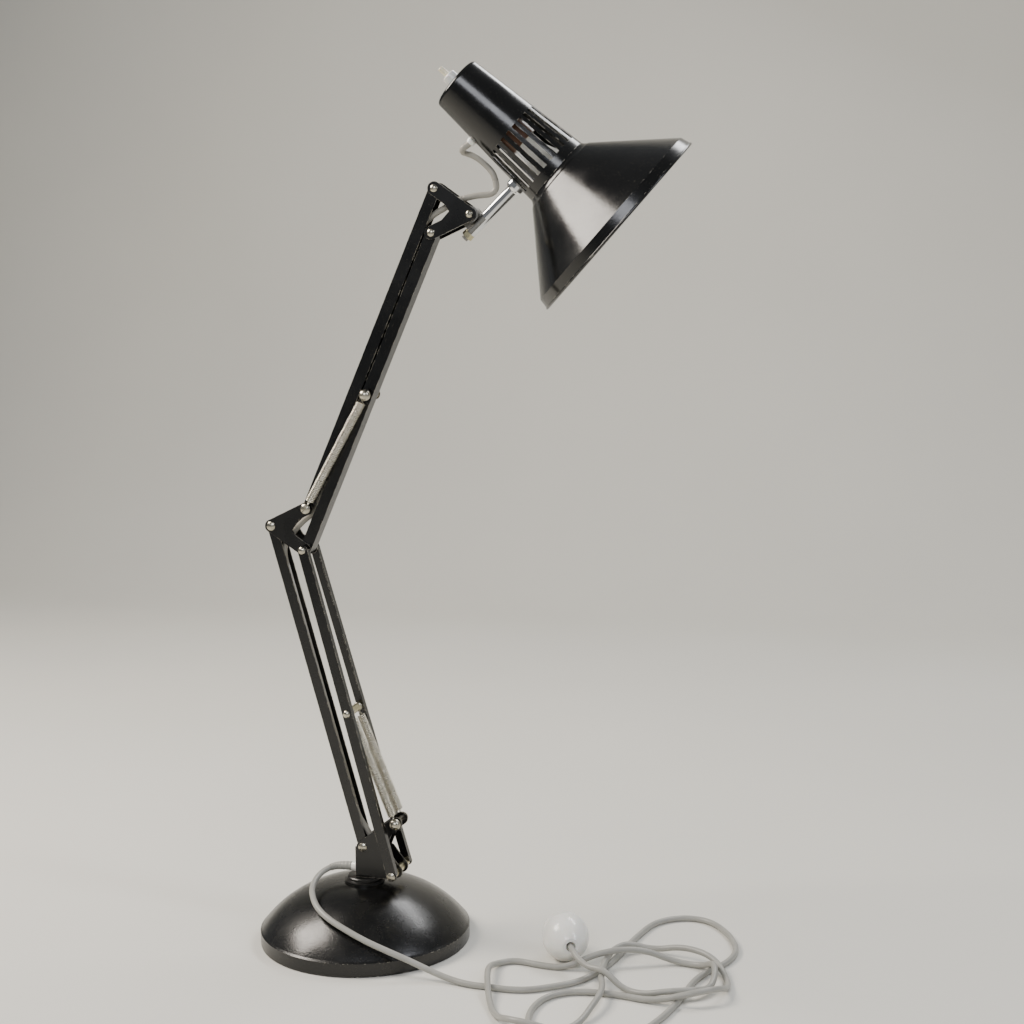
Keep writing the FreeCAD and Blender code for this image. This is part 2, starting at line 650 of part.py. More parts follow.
def knuckle():
    """Die-cast knuckle: a boss on the tilt bolt, a lug, and the post that the stem turns on."""
    half = PLATE_HALF_GAP - KNUCKLE_SIDE_GAP
    boss = rod(TILT_PIVOT, KNUCKLE_RADIUS, -half, half)
    boss = boss.cut(stem_cylinder(STEM_RADIUS + KNUCKLE_CLEARANCE, -3 * TONGUE_DROP, STEM_REACH))
    drop = TONGUE_DROP - KNUCKLE_CLEARANCE
    rise = TONGUE_RISE - KNUCKLE_CLEARANCE
    lug = Part.makeBox(STEM_OFFSET, 2 * LUG_HALF_WIDTH, drop + rise, Vector(0, -LUG_HALF_WIDTH, -drop))
    lug.Placement = Placement(STEM_SEAT, Rotation(STEM_SIDE * -1, ALONG_Y * -1, STEM_AXIS, "ZXY"))
    post = stem_cylinder(stem_bore() - STEM_RUNNING, -TONGUE_DROP, POST_RISE)
    spigot_end = -TONGUE_DROP - STEM_WASHER - STEM_NUT_HEIGHT - SPIGOT_END
    spigot = stem_cylinder(SPIGOT_RADIUS, spigot_end, -TONGUE_DROP)
    return drilled(fused([boss, lug, post, spigot]), [TILT_PIVOT], PIN_RADIUS + RUNNING)


def stem_nut():
    """Nut and washer on the post's threaded end, under the stem."""
    foot = -TONGUE_DROP - STEM_WASHER
    washer = stem_cylinder(STEM_RADIUS, foot, -TONGUE_DROP - END_GAP)
    nut = hexagon(STEM_NUT_RADIUS, STEM_NUT_HEIGHT)
    nut.Placement = Placement(along_stem(foot), Rotation(ALONG_Z, STEM_AXIS * -1))
    bore = stem_cylinder(SPIGOT_RADIUS + SEAT, 4 * foot, 0)
    return washer.fuse(nut).removeSplitter().cut(bore)


# Head, built along +Z from its rear end with the stem on the +X side, then put in place
def housing_radius(station, inset=0.0):
    """Outside radius of the tapered housing at a distance from its rear end."""
    share = station / HOUSING_LENGTH
    return HOUSING_REAR_RADIUS + (HOUSING_FRONT_RADIUS - HOUSING_REAR_RADIUS) * share - inset


def seated(shape):
    """The shape moved from the head's own axes to its place on the stem."""
    shape = shape.copy()
    shape.rotate(Vector(), ALONG_Y, 90 + HEAD_DIP)
    wall_point = Rotation(ALONG_Y, 90 + HEAD_DIP).multVec(wall_place(STEM_STATION, 0))
    shape.translate(along_stem(STEM_REACH) - wall_point)
    shape.rotate(STEM_SEAT, STEM_AXIS, HEAD_TURN)
    return shape


def wall_place(station, height):
    """A point square above the housing's wall, on the stem side, in the head's own axes."""
    return Vector(housing_radius(station), 0, station) + WALL_NORMAL * height


def above_wall(station, height):
    """Where a point square above the housing's wall ends up."""
    return seated(Part.Vertex(wall_place(station, height))).Point


def housing_blank(inset):
    """The tapered housing as a full solid, moved inwards by an inset."""
    rear = inset
    corner = HOUSING_CORNER - inset
    start = Vector(housing_radius(0, inset) - corner, 0, rear)
    side = Vector(housing_radius(HOUSING_CORNER, inset), 0, HOUSING_CORNER)
    knee = start + Vector(corner * 0.72, 0, corner * 0.26)
    front = Vector(housing_radius(HOUSING_LENGTH, inset), 0, HOUSING_LENGTH)
    edges = [
        Part.LineSegment(Vector(0, 0, rear), start).toShape(),
        Part.Arc(start, knee, side).toShape(),
        Part.LineSegment(side, front).toShape(),
        Part.LineSegment(front, Vector(0, 0, HOUSING_LENGTH)).toShape(),
        Part.LineSegment(Vector(0, 0, HOUSING_LENGTH), Vector(0, 0, rear)).toShape(),
    ]
    return Part.Face(Part.Wire(edges)).revolve(Vector(), ALONG_Z, 360)


def wall_tool(radius, station, depth):
    """A cylinder square to the housing's wall on the stem side, through the wall."""
    return Part.makeCylinder(radius, 2 * depth, wall_place(station, -depth), WALL_NORMAL)


def lamp_housing():
    """Tapered steel housing with a closed rear end and a ring of long cooling slots."""
    shell = housing_blank(0).cut(housing_blank(HEAD_WALL))
    pitch = 360 / SLOT_COUNT
    tools = []
    for index in range(SLOTS_LEFT_OUT + 1, SLOT_COUNT - SLOTS_LEFT_OUT):
        slot = Part.makeBox(2 * HOUSING_FRONT_RADIUS, SLOT_WIDTH, SLOT_END - SLOT_START,
                            Vector(HOUSING_REAR_RADIUS / 2, -SLOT_WIDTH / 2, SLOT_START))
        slot.rotate(Vector(), ALONG_Z, index * pitch)
        tools.append(slot)
    tools.append(Part.makeCylinder(HOLDER_NECK_RADIUS + SEAT, 4 * HEAD_WALL, Vector(0, 0, -HEAD_WALL)))
    tools.append(wall_tool(stem_bore() + SEAT, STEM_STATION, 4 * HEAD_WALL))
    tools.append(wall_tool(LEAD_BUSH_NECK + SEAT, BUSH_STATION, 4 * HEAD_WALL))
    for tool in tools:
        shell = shell.cut(tool)
    return seated(shell)


def shade():
    """Spun aluminium shade: a neck inside the housing, a wide cone and an upright lip."""
    neck_start = HOUSING_LENGTH - NECK_OVERLAP
    inset = HEAD_WALL + NECK_CLEARANCE
    neck_a = Vector(housing_radius(neck_start, inset), 0, neck_start)
    neck_b = Vector(housing_radius(HOUSING_LENGTH, inset), 0, HOUSING_LENGTH)
    cone_radius = MOUTH_RADIUS - LIP_FLARE
    slope = Vector(cone_radius - HOUSING_FRONT_RADIUS, 0, CONE_LENGTH).normalize()
    start = Vector(HOUSING_FRONT_RADIUS, 0, HOUSING_LENGTH)
    cone_a = start + slope * NECK_FILLET
    knee = start + slope * NECK_FILLET * 0.34 + Vector(-0.3, 0, 0.5)
    cone_b = Vector(cone_radius, 0, HOUSING_LENGTH + CONE_LENGTH)
    lip = Vector(MOUTH_RADIUS, 0, MOUTH_STATION)
    wall = Vector(HEAD_WALL, 0, 0)
    across = Vector(slope.z, 0, -slope.x) * HEAD_WALL
    inner_cone_b = cone_b - Vector(HEAD_WALL, 0, 0)
    inner_cone_a = cone_a - across
    edges = [
        Part.LineSegment(neck_a, neck_b).toShape(),
        Part.LineSegment(neck_b, start).toShape(),
        Part.Arc(start, knee, cone_a).toShape(),
        Part.LineSegment(cone_a, cone_b).toShape(),
        Part.LineSegment(cone_b, lip).toShape(),
        Part.LineSegment(lip, lip - wall).toShape(),
        Part.LineSegment(lip - wall, inner_cone_b).toShape(),
        Part.LineSegment(inner_cone_b, inner_cone_a).toShape(),
        Part.LineSegment(inner_cone_a, neck_b - wall + Vector(0, 0, HEAD_WALL)).toShape(),
        Part.LineSegment(neck_b - wall + Vector(0, 0, HEAD_WALL), neck_a - wall).toShape(),
        Part.LineSegment(neck_a - wall, neck_a).toShape(),
    ]
    shell = Part.Face(Part.Wire(edges)).revolve(Vector(), ALONG_Z, 360)
    bead = Part.makeTorus(MOUTH_RADIUS - HEAD_WALL / 2, LIP_BEAD, Vector(0, 0, MOUTH_STATION), ALONG_Z)
    return seated(shell.fuse(bead).removeSplitter())


def stem_tube():
    """Chrome stem: a tube with a half-round tongue at its foot and a threaded end in the head."""
    bore = stem_bore()
    tube = stem_cylinder(STEM_RADIUS, TONGUE_RISE, STEM_REACH - HEAD_WALL)
    tongue_length = TONGUE_DROP + TONGUE_RISE
    tongue = Part.makeCylinder(STEM_RADIUS, tongue_length, Vector(), ALONG_Z, 2 * TONGUE_HALF_ANGLE)
    tongue.rotate(Vector(), ALONG_Z, -TONGUE_HALF_ANGLE)
    away_from_lug = Placement(along_stem(-TONGUE_DROP), Rotation(STEM_SIDE, ALONG_Y, STEM_AXIS, "ZXY"))
    tongue.Placement = away_from_lug.multiply(tongue.Placement)
    hollow = stem_cylinder(bore, -2 * TONGUE_DROP, STEM_REACH - 2 * STEM_RADIUS)
    thread_end = STEM_REACH + HEAD_WALL + FIXING_NUT_HEIGHT + 1
    thread = stem_cylinder(bore, STEM_REACH - 2 * STEM_RADIUS, thread_end)
    tube = fused([tube, tongue]).cut(hollow).fuse(thread).removeSplitter()
    tube.rotate(STEM_SEAT, STEM_AXIS, HEAD_TURN)
    return tube.cut(seated(housing_blank(0)).cut(seated(housing_blank(HEAD_WALL))).cut(thread))


def stem_flange():
    """Domed chrome flange where the stem meets the housing, shaped to the wall."""
    start = STEM_REACH - FLANGE_HEIGHT
    foot = along_stem(start)
    base = Part.makeCylinder(FLANGE_RADIUS, FLANGE_HEIGHT + 2, foot, STEM_AXIS)
    dome = Part.makeSphere(FLANGE_RADIUS * 1.06, along_stem(STEM_REACH))
    flange = base.common(dome.fuse(stem_cylinder(FLANGE_RADIUS, STEM_REACH, STEM_REACH + 2)))
    flange = flange.cut(stem_cylinder(STEM_RADIUS + SEAT, start - 1, STEM_REACH + 3))
    flange.rotate(STEM_SEAT, STEM_AXIS, HEAD_TURN)
    return flange.cut(seated(housing_blank(0)))


def fixing_nut():
    """Nut inside the housing that holds the stem."""
    nut = hexagon(FIXING_NUT_RADIUS, FIXING_NUT_HEIGHT)
    start = STEM_REACH + 2.5 * HEAD_WALL
    nut.Placement = Placement(along_stem(start), Rotation(ALONG_Z, STEM_AXIS))
    nut = nut.cut(stem_cylinder(stem_bore() + SEAT, STEM_REACH, start + 2 * FIXING_NUT_HEIGHT))
    nut.rotate(STEM_SEAT, STEM_AXIS, HEAD_TURN)
    return nut


def lampholder():
    """Brown switched lampholder: its neck goes out through the housing's rear end."""
    neck = HOLDER_NECK_RADIUS
    body = turned([(0, -COLLAR_NUT_LENGTH * 0.6), (neck, -COLLAR_NUT_LENGTH * 0.6), (neck, HOLDER_START),
                   (HOLDER_RADIUS * 0.8, HOLDER_START), (HOLDER_RADIUS, HOLDER_START + 6),
                   (HOLDER_RADIUS, HOLDER_END - 30), (HOLDER_RADIUS - 2, HOLDER_END - 28),
                   (HOLDER_RADIUS - 2, HOLDER_END), (0, HOLDER_END)])
    socket = Part.makeCylinder(SOCKET_RADIUS, SOCKET_DEPTH + 1, Vector(0, 0, HOLDER_END - SOCKET_DEPTH))
    button_way = BUTTON_ROOT + BUTTON_TRAVEL + 2
    way = Part.makeCylinder(BUTTON_RADIUS + BUTTON_CLEARANCE, button_way + COLLAR_NUT_LENGTH,
                            Vector(0, 0, -COLLAR_NUT_LENGTH))
    return seated(body.cut(socket).cut(way))


def bulb_cap():
    """Brass cap of the lamp bulb, in the lampholder."""
    start = HOLDER_END - CAP_LENGTH
    rounds = [(0, start)]
    count = 5
    pitch = CAP_LENGTH * 0.8 / count
    for index in range(count):
        low = start + CAP_LENGTH * 0.1 + index * pitch
        rounds += [(CAP_RADIUS - 0.8, low), (CAP_RADIUS, low + pitch / 2)]
    rounds += [(CAP_RADIUS - 0.8, HOLDER_END), (0, HOLDER_END)]
    return seated(turned(rounds))


def bulb():
    """Glass envelope of the lamp bulb."""
    start = HOLDER_END + END_GAP
    centre = start + BULB_LENGTH - BULB_RADIUS
    tilt = math.radians(BULB_NECK_ANGLE)
    foot = Vector(CAP_RADIUS - 0.8, 0, start)
    side = Vector(BULB_RADIUS * math.cos(tilt), 0, centre - BULB_RADIUS * math.sin(tilt))
    waist = foot + (side - foot) * 0.5 + Vector(BULB_WAIST, 0, -BULB_WAIST) * -1
    edges = [
        Part.LineSegment(Vector(0, 0, start), foot).toShape(),
        Part.Arc(foot, waist, side).toShape(),
        Part.LineSegment(side, Vector(0, 0, side.z)).toShape(),
        Part.LineSegment(Vector(0, 0, side.z), Vector(0, 0, start)).toShape(),
    ]
    neck = Part.Face(Part.Wire(edges)).revolve(Vector(), ALONG_Z, 360)
    globe = Part.makeSphere(BULB_RADIUS, Vector(0, 0, centre))
    return seated(fused([neck, globe]))


def switch_collar():
    """White ring nut on the lampholder's neck, outside the rear end."""
    radius = COLLAR_NUT_RADIUS
    length = COLLAR_NUT_LENGTH
    ring = turned([(0, -length), (radius - 0.8, -length), (radius, -length + 0.8), (radius, 0), (0, 0)])
    neck_room = Part.makeCylinder(HOLDER_NECK_RADIUS + SEAT, length * 0.6, Vector(0, 0, -length * 0.6))
    bore = Part.makeCylinder(BUTTON_RADIUS + BUTTON_CLEARANCE, 2 * length, Vector(0, 0, -1.5 * length))
    return seated(ring.cut(neck_room).cut(bore))


def push_button():
    """Cream push button of the switch, which slides in along the head's axis."""
    tip = -COLLAR_NUT_LENGTH - BUTTON_OUT
    body = turned([(0, tip), (BUTTON_RADIUS - 0.6, tip), (BUTTON_RADIUS, tip + 0.6),
                   (BUTTON_RADIUS, BUTTON_ROOT), (0, BUTTON_ROOT)])
    return seated(body)


def lead_bush():
    """White bush in the housing's side, where the lead goes in."""
    bush = bush_on_axis(LEAD_BUSH_RADIUS, LEAD_BUSH_NECK, LEAD_BUSH_HEIGHT, 2 * HEAD_WALL,
                        LEAD_RADIUS + SEAT)
    bush.Placement = Placement(wall_place(BUSH_STATION, LEAD_BUSH_GAP), Rotation(ALONG_Z, WALL_NORMAL))
    return seated(bush)


# Lead and mains cord
def cord(name, route, radius):
    """A round cord along a route: straight runs joined by tangent arcs."""
    runs = [(route[i + 1] - route[i]).Length for i in range(len(route) - 1)]
    edges = []
    radii = []
    here = route[0]
    for i in range(1, len(route) - 1):
        into = (route[i] - route[i - 1]).normalize()
        out = (route[i + 1] - route[i]).normalize()
        half = into.getAngle(out) / 2
        setback = 0.45 * min(runs[i - 1], runs[i])
        bend = setback / math.tan(half)
        first = route[i] - into * setback
        last = route[i] + out * setback
        middle = route[i] + (out - into).normalize() * bend * (1 / math.cos(half) - 1)
        edges.append(Part.LineSegment(here, first).toShape())
        edges.append(Part.Arc(first, middle, last).toShape())
        radii.append(bend)
        here = last
    edges.append(Part.LineSegment(here, route[-1]).toShape())
    path = Part.Wire(edges)
    start = (route[1] - route[0]).normalize()
    section = Part.Wire(Part.Circle(route[0], start, radius).toShape())
    solid = path.makePipeShell([section], True, False)
    share = solid.Volume / (math.pi * radius ** 2 * path.Length)
    print(name, "length", round(path.Length), "volume share", round(share, 3))
    print("  radii", [round(r) for r in radii])
    return solid


def in_channel(foot, lean, reach, offset):
    """A point in an arm, at a distance along it and an offset towards its front."""
    along = polar(reach, lean)
    across = polar(offset, lean + 90)
    return Vector(foot[0] + along[0] + across[0], 0, foot[1] + along[1] + across[1])


def lower_point(reach, offset):
    """A point in the rear channel of the lower arm."""
    return in_channel(REAR_FOOT, LOWER_ARM_LEAN, reach, offset)


def upper_point(reach, offset):
    """A point in the rear bar of the upper arm."""
    return in_channel(ELBOW_TOP, UPPER_ARM_LEAN, reach, offset)


def lead_in_arm(arm_point, length):
    """The straight run inside an arm, clear of its end pins."""
    return [arm_point(TUBE_START, TUBE_OFFSET), arm_point(length - TUBE_END, TUBE_OFFSET)]


def pin_pass():
    """How far in front of a pin's axis the lead passes it."""
    return PIN_RADIUS + LEAD_RADIUS + 1.4


def lead_foot_route():
    """From the cord bush up into the rear channel, in front of its foot pin."""
    start = Vector(BRACKET_REAR_EDGE + FERRULE_TAIL, 0, FERRULE_HEIGHT)
    return [start, start + Vector(8, 0, 0), Vector(12, 0, 83), Vector(14.5, 0, 93),
            lower_point(3, pin_pass() + 1.2), lower_point(16, pin_pass() - 1.0),
            lower_point(28, TUBE_OFFSET + 1.2), lower_point(37, TUBE_OFFSET),
            lower_point(TUBE_START, TUBE_OFFSET)]


def lead_elbow_low_route():
    """From the top of the rear channel out between the elbow plates."""
    top = LOWER_ARM_LENGTH - TUBE_END
    return [lower_point(top, TUBE_OFFSET), lower_point(top + 9, TUBE_OFFSET), lower_point(top + 21, 4.2),
            ELBOW_CROSSING - ELBOW_HEADING * 11, ELBOW_CROSSING]


def lead_elbow_high_route():
    """From the elbow's notch up into the upper rear bar, in front of its foot pin."""
    return [ELBOW_CROSSING, ELBOW_CROSSING + ELBOW_HEADING * 12, upper_point(-2, pin_pass()),
            upper_point(12, pin_pass() - 0.4), upper_point(26, TUBE_OFFSET + 1.6),
            upper_point(36, TUBE_OFFSET), upper_point(TUBE_START, TUBE_OFFSET)]


def lead_fork_route():
    """From the top of the upper rear bar through the fork of the head bracket."""
    top = UPPER_ARM_LENGTH - TUBE_END
    return [upper_point(top, TUBE_OFFSET), upper_point(top + 8, TUBE_OFFSET),
            upper_point(top + 22, pin_pass() + 0.6), Vector(104, 0, 792),
            FORK_CROSSING - FORK_HEADING * 9, FORK_CROSSING]


def lead_loop_low_route():
    """From the fork round the lower turn of the free loop beside the stem."""
    return [FORK_CROSSING, FORK_CROSSING + FORK_HEADING * 11.5, Vector(142.4, 0.3, 803.2),
            Vector(150.4, 0.4, 803.6), Vector(155.6, 0.5, 806.6),
            LOOP_CROSSING - LOOP_HEADING * 6, LOOP_CROSSING]


def lead_loop_high_route():
    """Along under the housing, then sharply round into the bush in its wall."""
    mouth = LEAD_BUSH_GAP + LEAD_BUSH_HEIGHT
    return [LOOP_CROSSING, LOOP_CROSSING + LOOP_HEADING * 6.5, Vector(150.4, -0.5, 829.4),
            Vector(145.0, -0.1, 834.8), Vector(138.6, 0.6, 839.8), Vector(132.6, 1.3, 843.4),
            Vector(127.2, -0.6, 845.4), Vector(123.2, -6.2, 846.4), Vector(125.2, -12.2, 849.6),
            above_wall(BUSH_STATION, mouth + 2.5), above_wall(BUSH_STATION, -HEAD_WALL)]


def coil_outline():
    """The loose coil's outline on the table, as (X, Y) corners that a smooth curve cuts inside."""
    return [(160, -68), (166, -132), (188, -208), (262, -230), (340, -208), (366, -158), (404, -104),
            (412, -30), (410, 58), (384, 104), (343, 128), (303, 106), (284, 55), (276, 8),
            (264, -28), (250, -56), (232, -58), (206, -50), (174, -40)]


def cord_coil():
    """Outer shape of the loose coil that the mains cord lies in."""
    places = [Vector(x, y, 0) for x, y in coil_outline()]
    count = len(places)
    edges = []
    for i in range(count):
        before = places[i - 1]
        here = places[i]
        after = places[(i + 1) % count]
        first = here + (before - here) * 0.5
        last = here + (after - here) * 0.5
        curve = Part.BezierCurve()
        curve.setPoles([first, here, last])
        edges.append(curve.toShape())
    return Part.Face(Part.Wire(edges)).extrude(Vector(0, 0, COIL_HEIGHT))


def mains_route():
    """From the cord bush round the dome, over the rim and along the table to the coil."""
    start = Vector(BRACKET_REAR_EDGE - FERRULE_LENGTH, 0, FERRULE_HEIGHT)
    low = LEAD_RADIUS + END_GAP
    return [start, start + Vector(-13, 0, 0), Vector(-37, -3, 77.5), Vector(-44, -12, 75),
            Vector(-47, -27, 71.5), Vector(-45, -44, 67), Vector(-38, -60, 62.5),
            Vector(-27, -75, 57), Vector(-11, -87, 51.5), Vector(10, -95, 45),
            Vector(34, -100, 36.5), Vector(59, -101, 28), Vector(84, -99, 18.5),
            Vector(107, -99, 9.5), Vector(127, -102, low + 1.3), Vector(147, -107, low),
            Vector(168, -108, low)]


def plug_placed(shape):
    """The shape moved from the plug's own axes, with its cord end along +Z, to its place."""
    heading = Vector(math.cos(math.radians(PLUG_HEADING)), math.sin(math.radians(PLUG_HEADING)), 0)
    shape.Placement = Placement(Vector(PLUG_CENTRE[0], PLUG_CENTRE[1], PLUG_RADIUS + PLUG_REST_GAP),
                                Rotation(ALONG_Z, heading))
    return shape


def plug_body():
    """Round white plug body that narrows to the cord's entry."""
    rim = Vector(PLUG_RADIUS, 0, -PLUG_FRONT * 0.35)
    face = Vector(PLUG_RADIUS - 2.5, 0, -PLUG_FRONT)
    tail = Vector(PLUG_TAIL_RADIUS, 0, PLUG_TAIL)
    bulge = Vector(PLUG_RADIUS * 0.86, 0, PLUG_TAIL * 0.42)
    edges = [
        Part.LineSegment(Vector(0, 0, -PLUG_FRONT), face).toShape(),
        Part.LineSegment(face, rim).toShape(),
        Part.Arc(rim, bulge, tail).toShape(),
        Part.LineSegment(tail, Vector(0, 0, PLUG_TAIL)).toShape(),
        Part.LineSegment(Vector(0, 0, PLUG_TAIL), Vector(0, 0, -PLUG_FRONT)).toShape(),
    ]
    body = Part.Face(Part.Wire(edges)).revolve(Vector(), ALONG_Z, 360)
    entry = Part.makeCylinder(LEAD_RADIUS + PLUG_ENTRY_GAP, 2 * PLUG_ENTRY_DEPTH,
                              Vector(0, 0, PLUG_TAIL - PLUG_ENTRY_DEPTH))
    return plug_placed(body.cut(entry))


def plug_blades():
    """Three flat blades: two slanted, one upright."""
    blades = []
    for turn, tilt in ((30, 60), (150, 120), (270, 90)):
        blade = Part.makeBox(BLADE_WIDTH, BLADE_THICKNESS, BLADE_LENGTH)
        blade.translate(Vector(-BLADE_WIDTH / 2, -BLADE_THICKNESS / 2, -PLUG_FRONT - BLADE_LENGTH))
        blade.rotate(Vector(), ALONG_Z, tilt)
        place = Rotation(ALONG_Z, turn).multVec(Vector(BLADE_SPREAD, 0, 0))
        blade.translate(place)
        blades.append(blade)
    return plug_placed(Part.makeCompound(blades))


def all_parts():
    """Every piece of the lamp, by name."""
    near = (-PLATE_OUTER, -PLATE_HALF_GAP)
    far = (PLATE_HALF_GAP, PLATE_OUTER)
    parts = {
        "base_cover": base_cover(),
        "base_weight": base_weight(),
        "base_pad": base_pad(),
        "pivot_bush": pivot_bush(),
        "hub_collar": hub_collar(),
        "swivel_pin": swivel_pin(),
        "base_bracket": base_bracket(),
        "rear_foot_pin": rivet(REAR_FOOT, PLATE_OUTER, LARGE_HEAD),
        "front_foot_pin": rivet(FRONT_FOOT, FRONT_BAR_FOOT_REACH + SPLAY_GAP, LARGE_HEAD),
        "front_pin_spacers": front_pin_spacers(),
        "lower_spring_pin": ball_pin(SPRING_POST, past_eye(LOWER_SPRING_OFFSET)),
        "cord_ferrule": cord_ferrule(),
        "rear_channel": rear_channel(),
        "front_bar_near": front_bar(-1),
        "front_bar_far": front_bar(1),
        "middle_pin": rivet(MIDDLE_PIN, FRONT_BAR_MIDDLE_REACH + SPLAY_GAP, SMALL_HEAD),
        "middle_spacers": middle_spacers(),
        "lower_spring_near": lower_spring(-LOWER_SPRING_OFFSET),
        "lower_spring_far": lower_spring(LOWER_SPRING_OFFSET),
        "elbow_plate_near": elbow_plate(*near),
        "elbow_plate_far": elbow_plate(*far),
        "elbow_rear_pin": rivet(ELBOW_REAR, PLATE_OUTER, LARGE_HEAD),
        "elbow_front_pin": rivet(ELBOW_FRONT, FRONT_BAR_TOP_REACH + SPLAY_GAP, SMALL_HEAD),
        "elbow_screw": elbow_screw(),
        "upper_bar_rear": upper_bar_rear(),
        "upper_bar_front": upper_bar_front(),
        "upper_spring_pin": ball_pin(UPPER_SPRING_PIN, past_eye(UPPER_SPRING_OFFSET)),
        "upper_spring_near": upper_spring(-UPPER_SPRING_OFFSET),
        "upper_spring_far": upper_spring(UPPER_SPRING_OFFSET),
        "upper_spring_hooks": upper_spring_hooks(),
        "head_plate_near": head_plate(*near),
        "head_plate_far": head_plate(*far),
        "head_top_pin": rivet(HEAD_TOP, PLATE_OUTER, SMALL_HEAD),
        "head_low_pin": rivet(HEAD_LOW, PLATE_OUTER, SMALL_HEAD),
        "tilt_bolt": tilt_bolt(),
        "knuckle": knuckle(),
        "stem_nut": stem_nut(),
        "stem_tube": stem_tube(),
        "stem_flange": stem_flange(),
        "fixing_nut": fixing_nut(),
        "lamp_housing": lamp_housing(),
        "shade": shade(),
        "lampholder": lampholder(),
        "bulb_cap": bulb_cap(),
        "bulb": bulb(),
        "switch_collar": switch_collar(),
        "push_button": push_button(),
        "lead_bush": lead_bush(),
        "lead_foot": cord("lead_foot", lead_foot_route(), LEAD_RADIUS),
        "lead_lower": cord("lead_lower", lead_in_arm(lower_point, LOWER_ARM_LENGTH), LEAD_RADIUS),
        "lead_elbow_low": cord("lead_elbow_low", lead_elbow_low_route(), LEAD_RADIUS),
        "lead_elbow_high": cord("lead_elbow_high", lead_elbow_high_route(), LEAD_RADIUS),
        "lead_upper": cord("lead_upper", lead_in_arm(upper_point, UPPER_ARM_LENGTH), LEAD_RADIUS),
        "lead_fork": cord("lead_fork", lead_fork_route(), LEAD_RADIUS),
        "lead_loop_low": cord("lead_loop_low", lead_loop_low_route(), LEAD_RADIUS),
        "lead_loop_high": cord("lead_loop_high", lead_loop_high_route(), LEAD_RADIUS),
        "mains_cord": cord("mains_cord", mains_route(), LEAD_RADIUS),
        "cord_coil": cord_coil(),
        "plug_body": plug_body(),
        "plug_blades": plug_blades(),
    }
    return parts


os.makedirs("parts", exist_ok=True)
for name, shape in all_parts().items():
    shape.exportStep("parts/" + name + ".step")
    if not shape.isValid():
        print("invalid", name)
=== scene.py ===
import bpy
import math
from mathutils import Matrix, Vector


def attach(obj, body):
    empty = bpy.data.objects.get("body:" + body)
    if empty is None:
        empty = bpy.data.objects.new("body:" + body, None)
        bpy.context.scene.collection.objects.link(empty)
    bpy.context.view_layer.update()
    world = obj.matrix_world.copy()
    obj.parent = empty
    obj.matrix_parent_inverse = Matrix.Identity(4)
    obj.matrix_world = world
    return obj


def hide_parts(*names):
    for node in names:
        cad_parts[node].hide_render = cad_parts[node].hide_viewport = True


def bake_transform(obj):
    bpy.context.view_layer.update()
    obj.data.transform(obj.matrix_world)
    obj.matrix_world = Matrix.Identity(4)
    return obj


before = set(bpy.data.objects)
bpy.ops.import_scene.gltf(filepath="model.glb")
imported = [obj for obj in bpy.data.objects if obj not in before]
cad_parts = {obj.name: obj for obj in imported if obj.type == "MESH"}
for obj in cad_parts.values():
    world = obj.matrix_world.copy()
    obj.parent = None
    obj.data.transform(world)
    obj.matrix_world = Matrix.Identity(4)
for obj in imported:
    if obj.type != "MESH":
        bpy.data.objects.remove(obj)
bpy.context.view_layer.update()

# Camera, studio and floor. A pale paper sweep, one large soft key light from the left, a wide
# fill in front, a narrow strip on the right and a soft light behind.


def linear(code):
    """The linear RGBA colour of an sRGB hex code."""
    shares = [int(code[i:i + 2], 16) / 255 for i in (1, 3, 5)]
    return [c / 12.92 if c <= 0.04045 else ((c + 0.055) / 1.055) ** 2.4 for c in shares] + [1.0]


def add(tree, kind, settings, *wires):
    """A node with its settings, which are inputs or properties, and its wires: (input, node, output)."""
    made = tree.nodes.new("ShaderNode" + kind)
    for key, value in settings.items():
        if isinstance(key, int) or key in made.inputs:
            made.inputs[key].default_value = value
        else:
            setattr(made, key, value)
    for socket, source, output in wires:
        tree.links.new(source.outputs[output], made.inputs[socket])
    return made


def begin(name, settings):
    """A new material with its own values on the shader: the material, its tree and its shader."""
    material = bpy.data.materials.new(name)
    material.use_nodes = True
    tree = material.node_tree
    shader = tree.nodes["Principled BSDF"]
    for key, value in settings.items():
        shader.inputs[key].default_value = value
    return material, tree, shader


EYE_SPOT = (0.5687, -1.572, 0.6654)
EYE_YAW = 14.2
EYE_PITCH = 83.346
EYE_ROLL = -0.48
LIGHTS_AIM = Vector((0.05, 0, 0.45))
eye = bpy.data.cameras.new("studio_camera")
camera = bpy.data.objects.new("studio_camera", eye)
bpy.context.scene.collection.objects.link(camera)
eye.sensor_width = 36
eye.lens = 1560 / 1024 * 36
eye.clip_end = 20
camera.location = EYE_SPOT
turn = (Matrix.Rotation(math.radians(EYE_YAW), 4, "Z") @ Matrix.Rotation(math.radians(EYE_PITCH), 4, "X")
        @ Matrix.Rotation(math.radians(EYE_ROLL), 4, "Z"))
camera.rotation_mode = "QUATERNION"
camera.rotation_quaternion = turn.to_quaternion()
bpy.context.scene.camera = camera

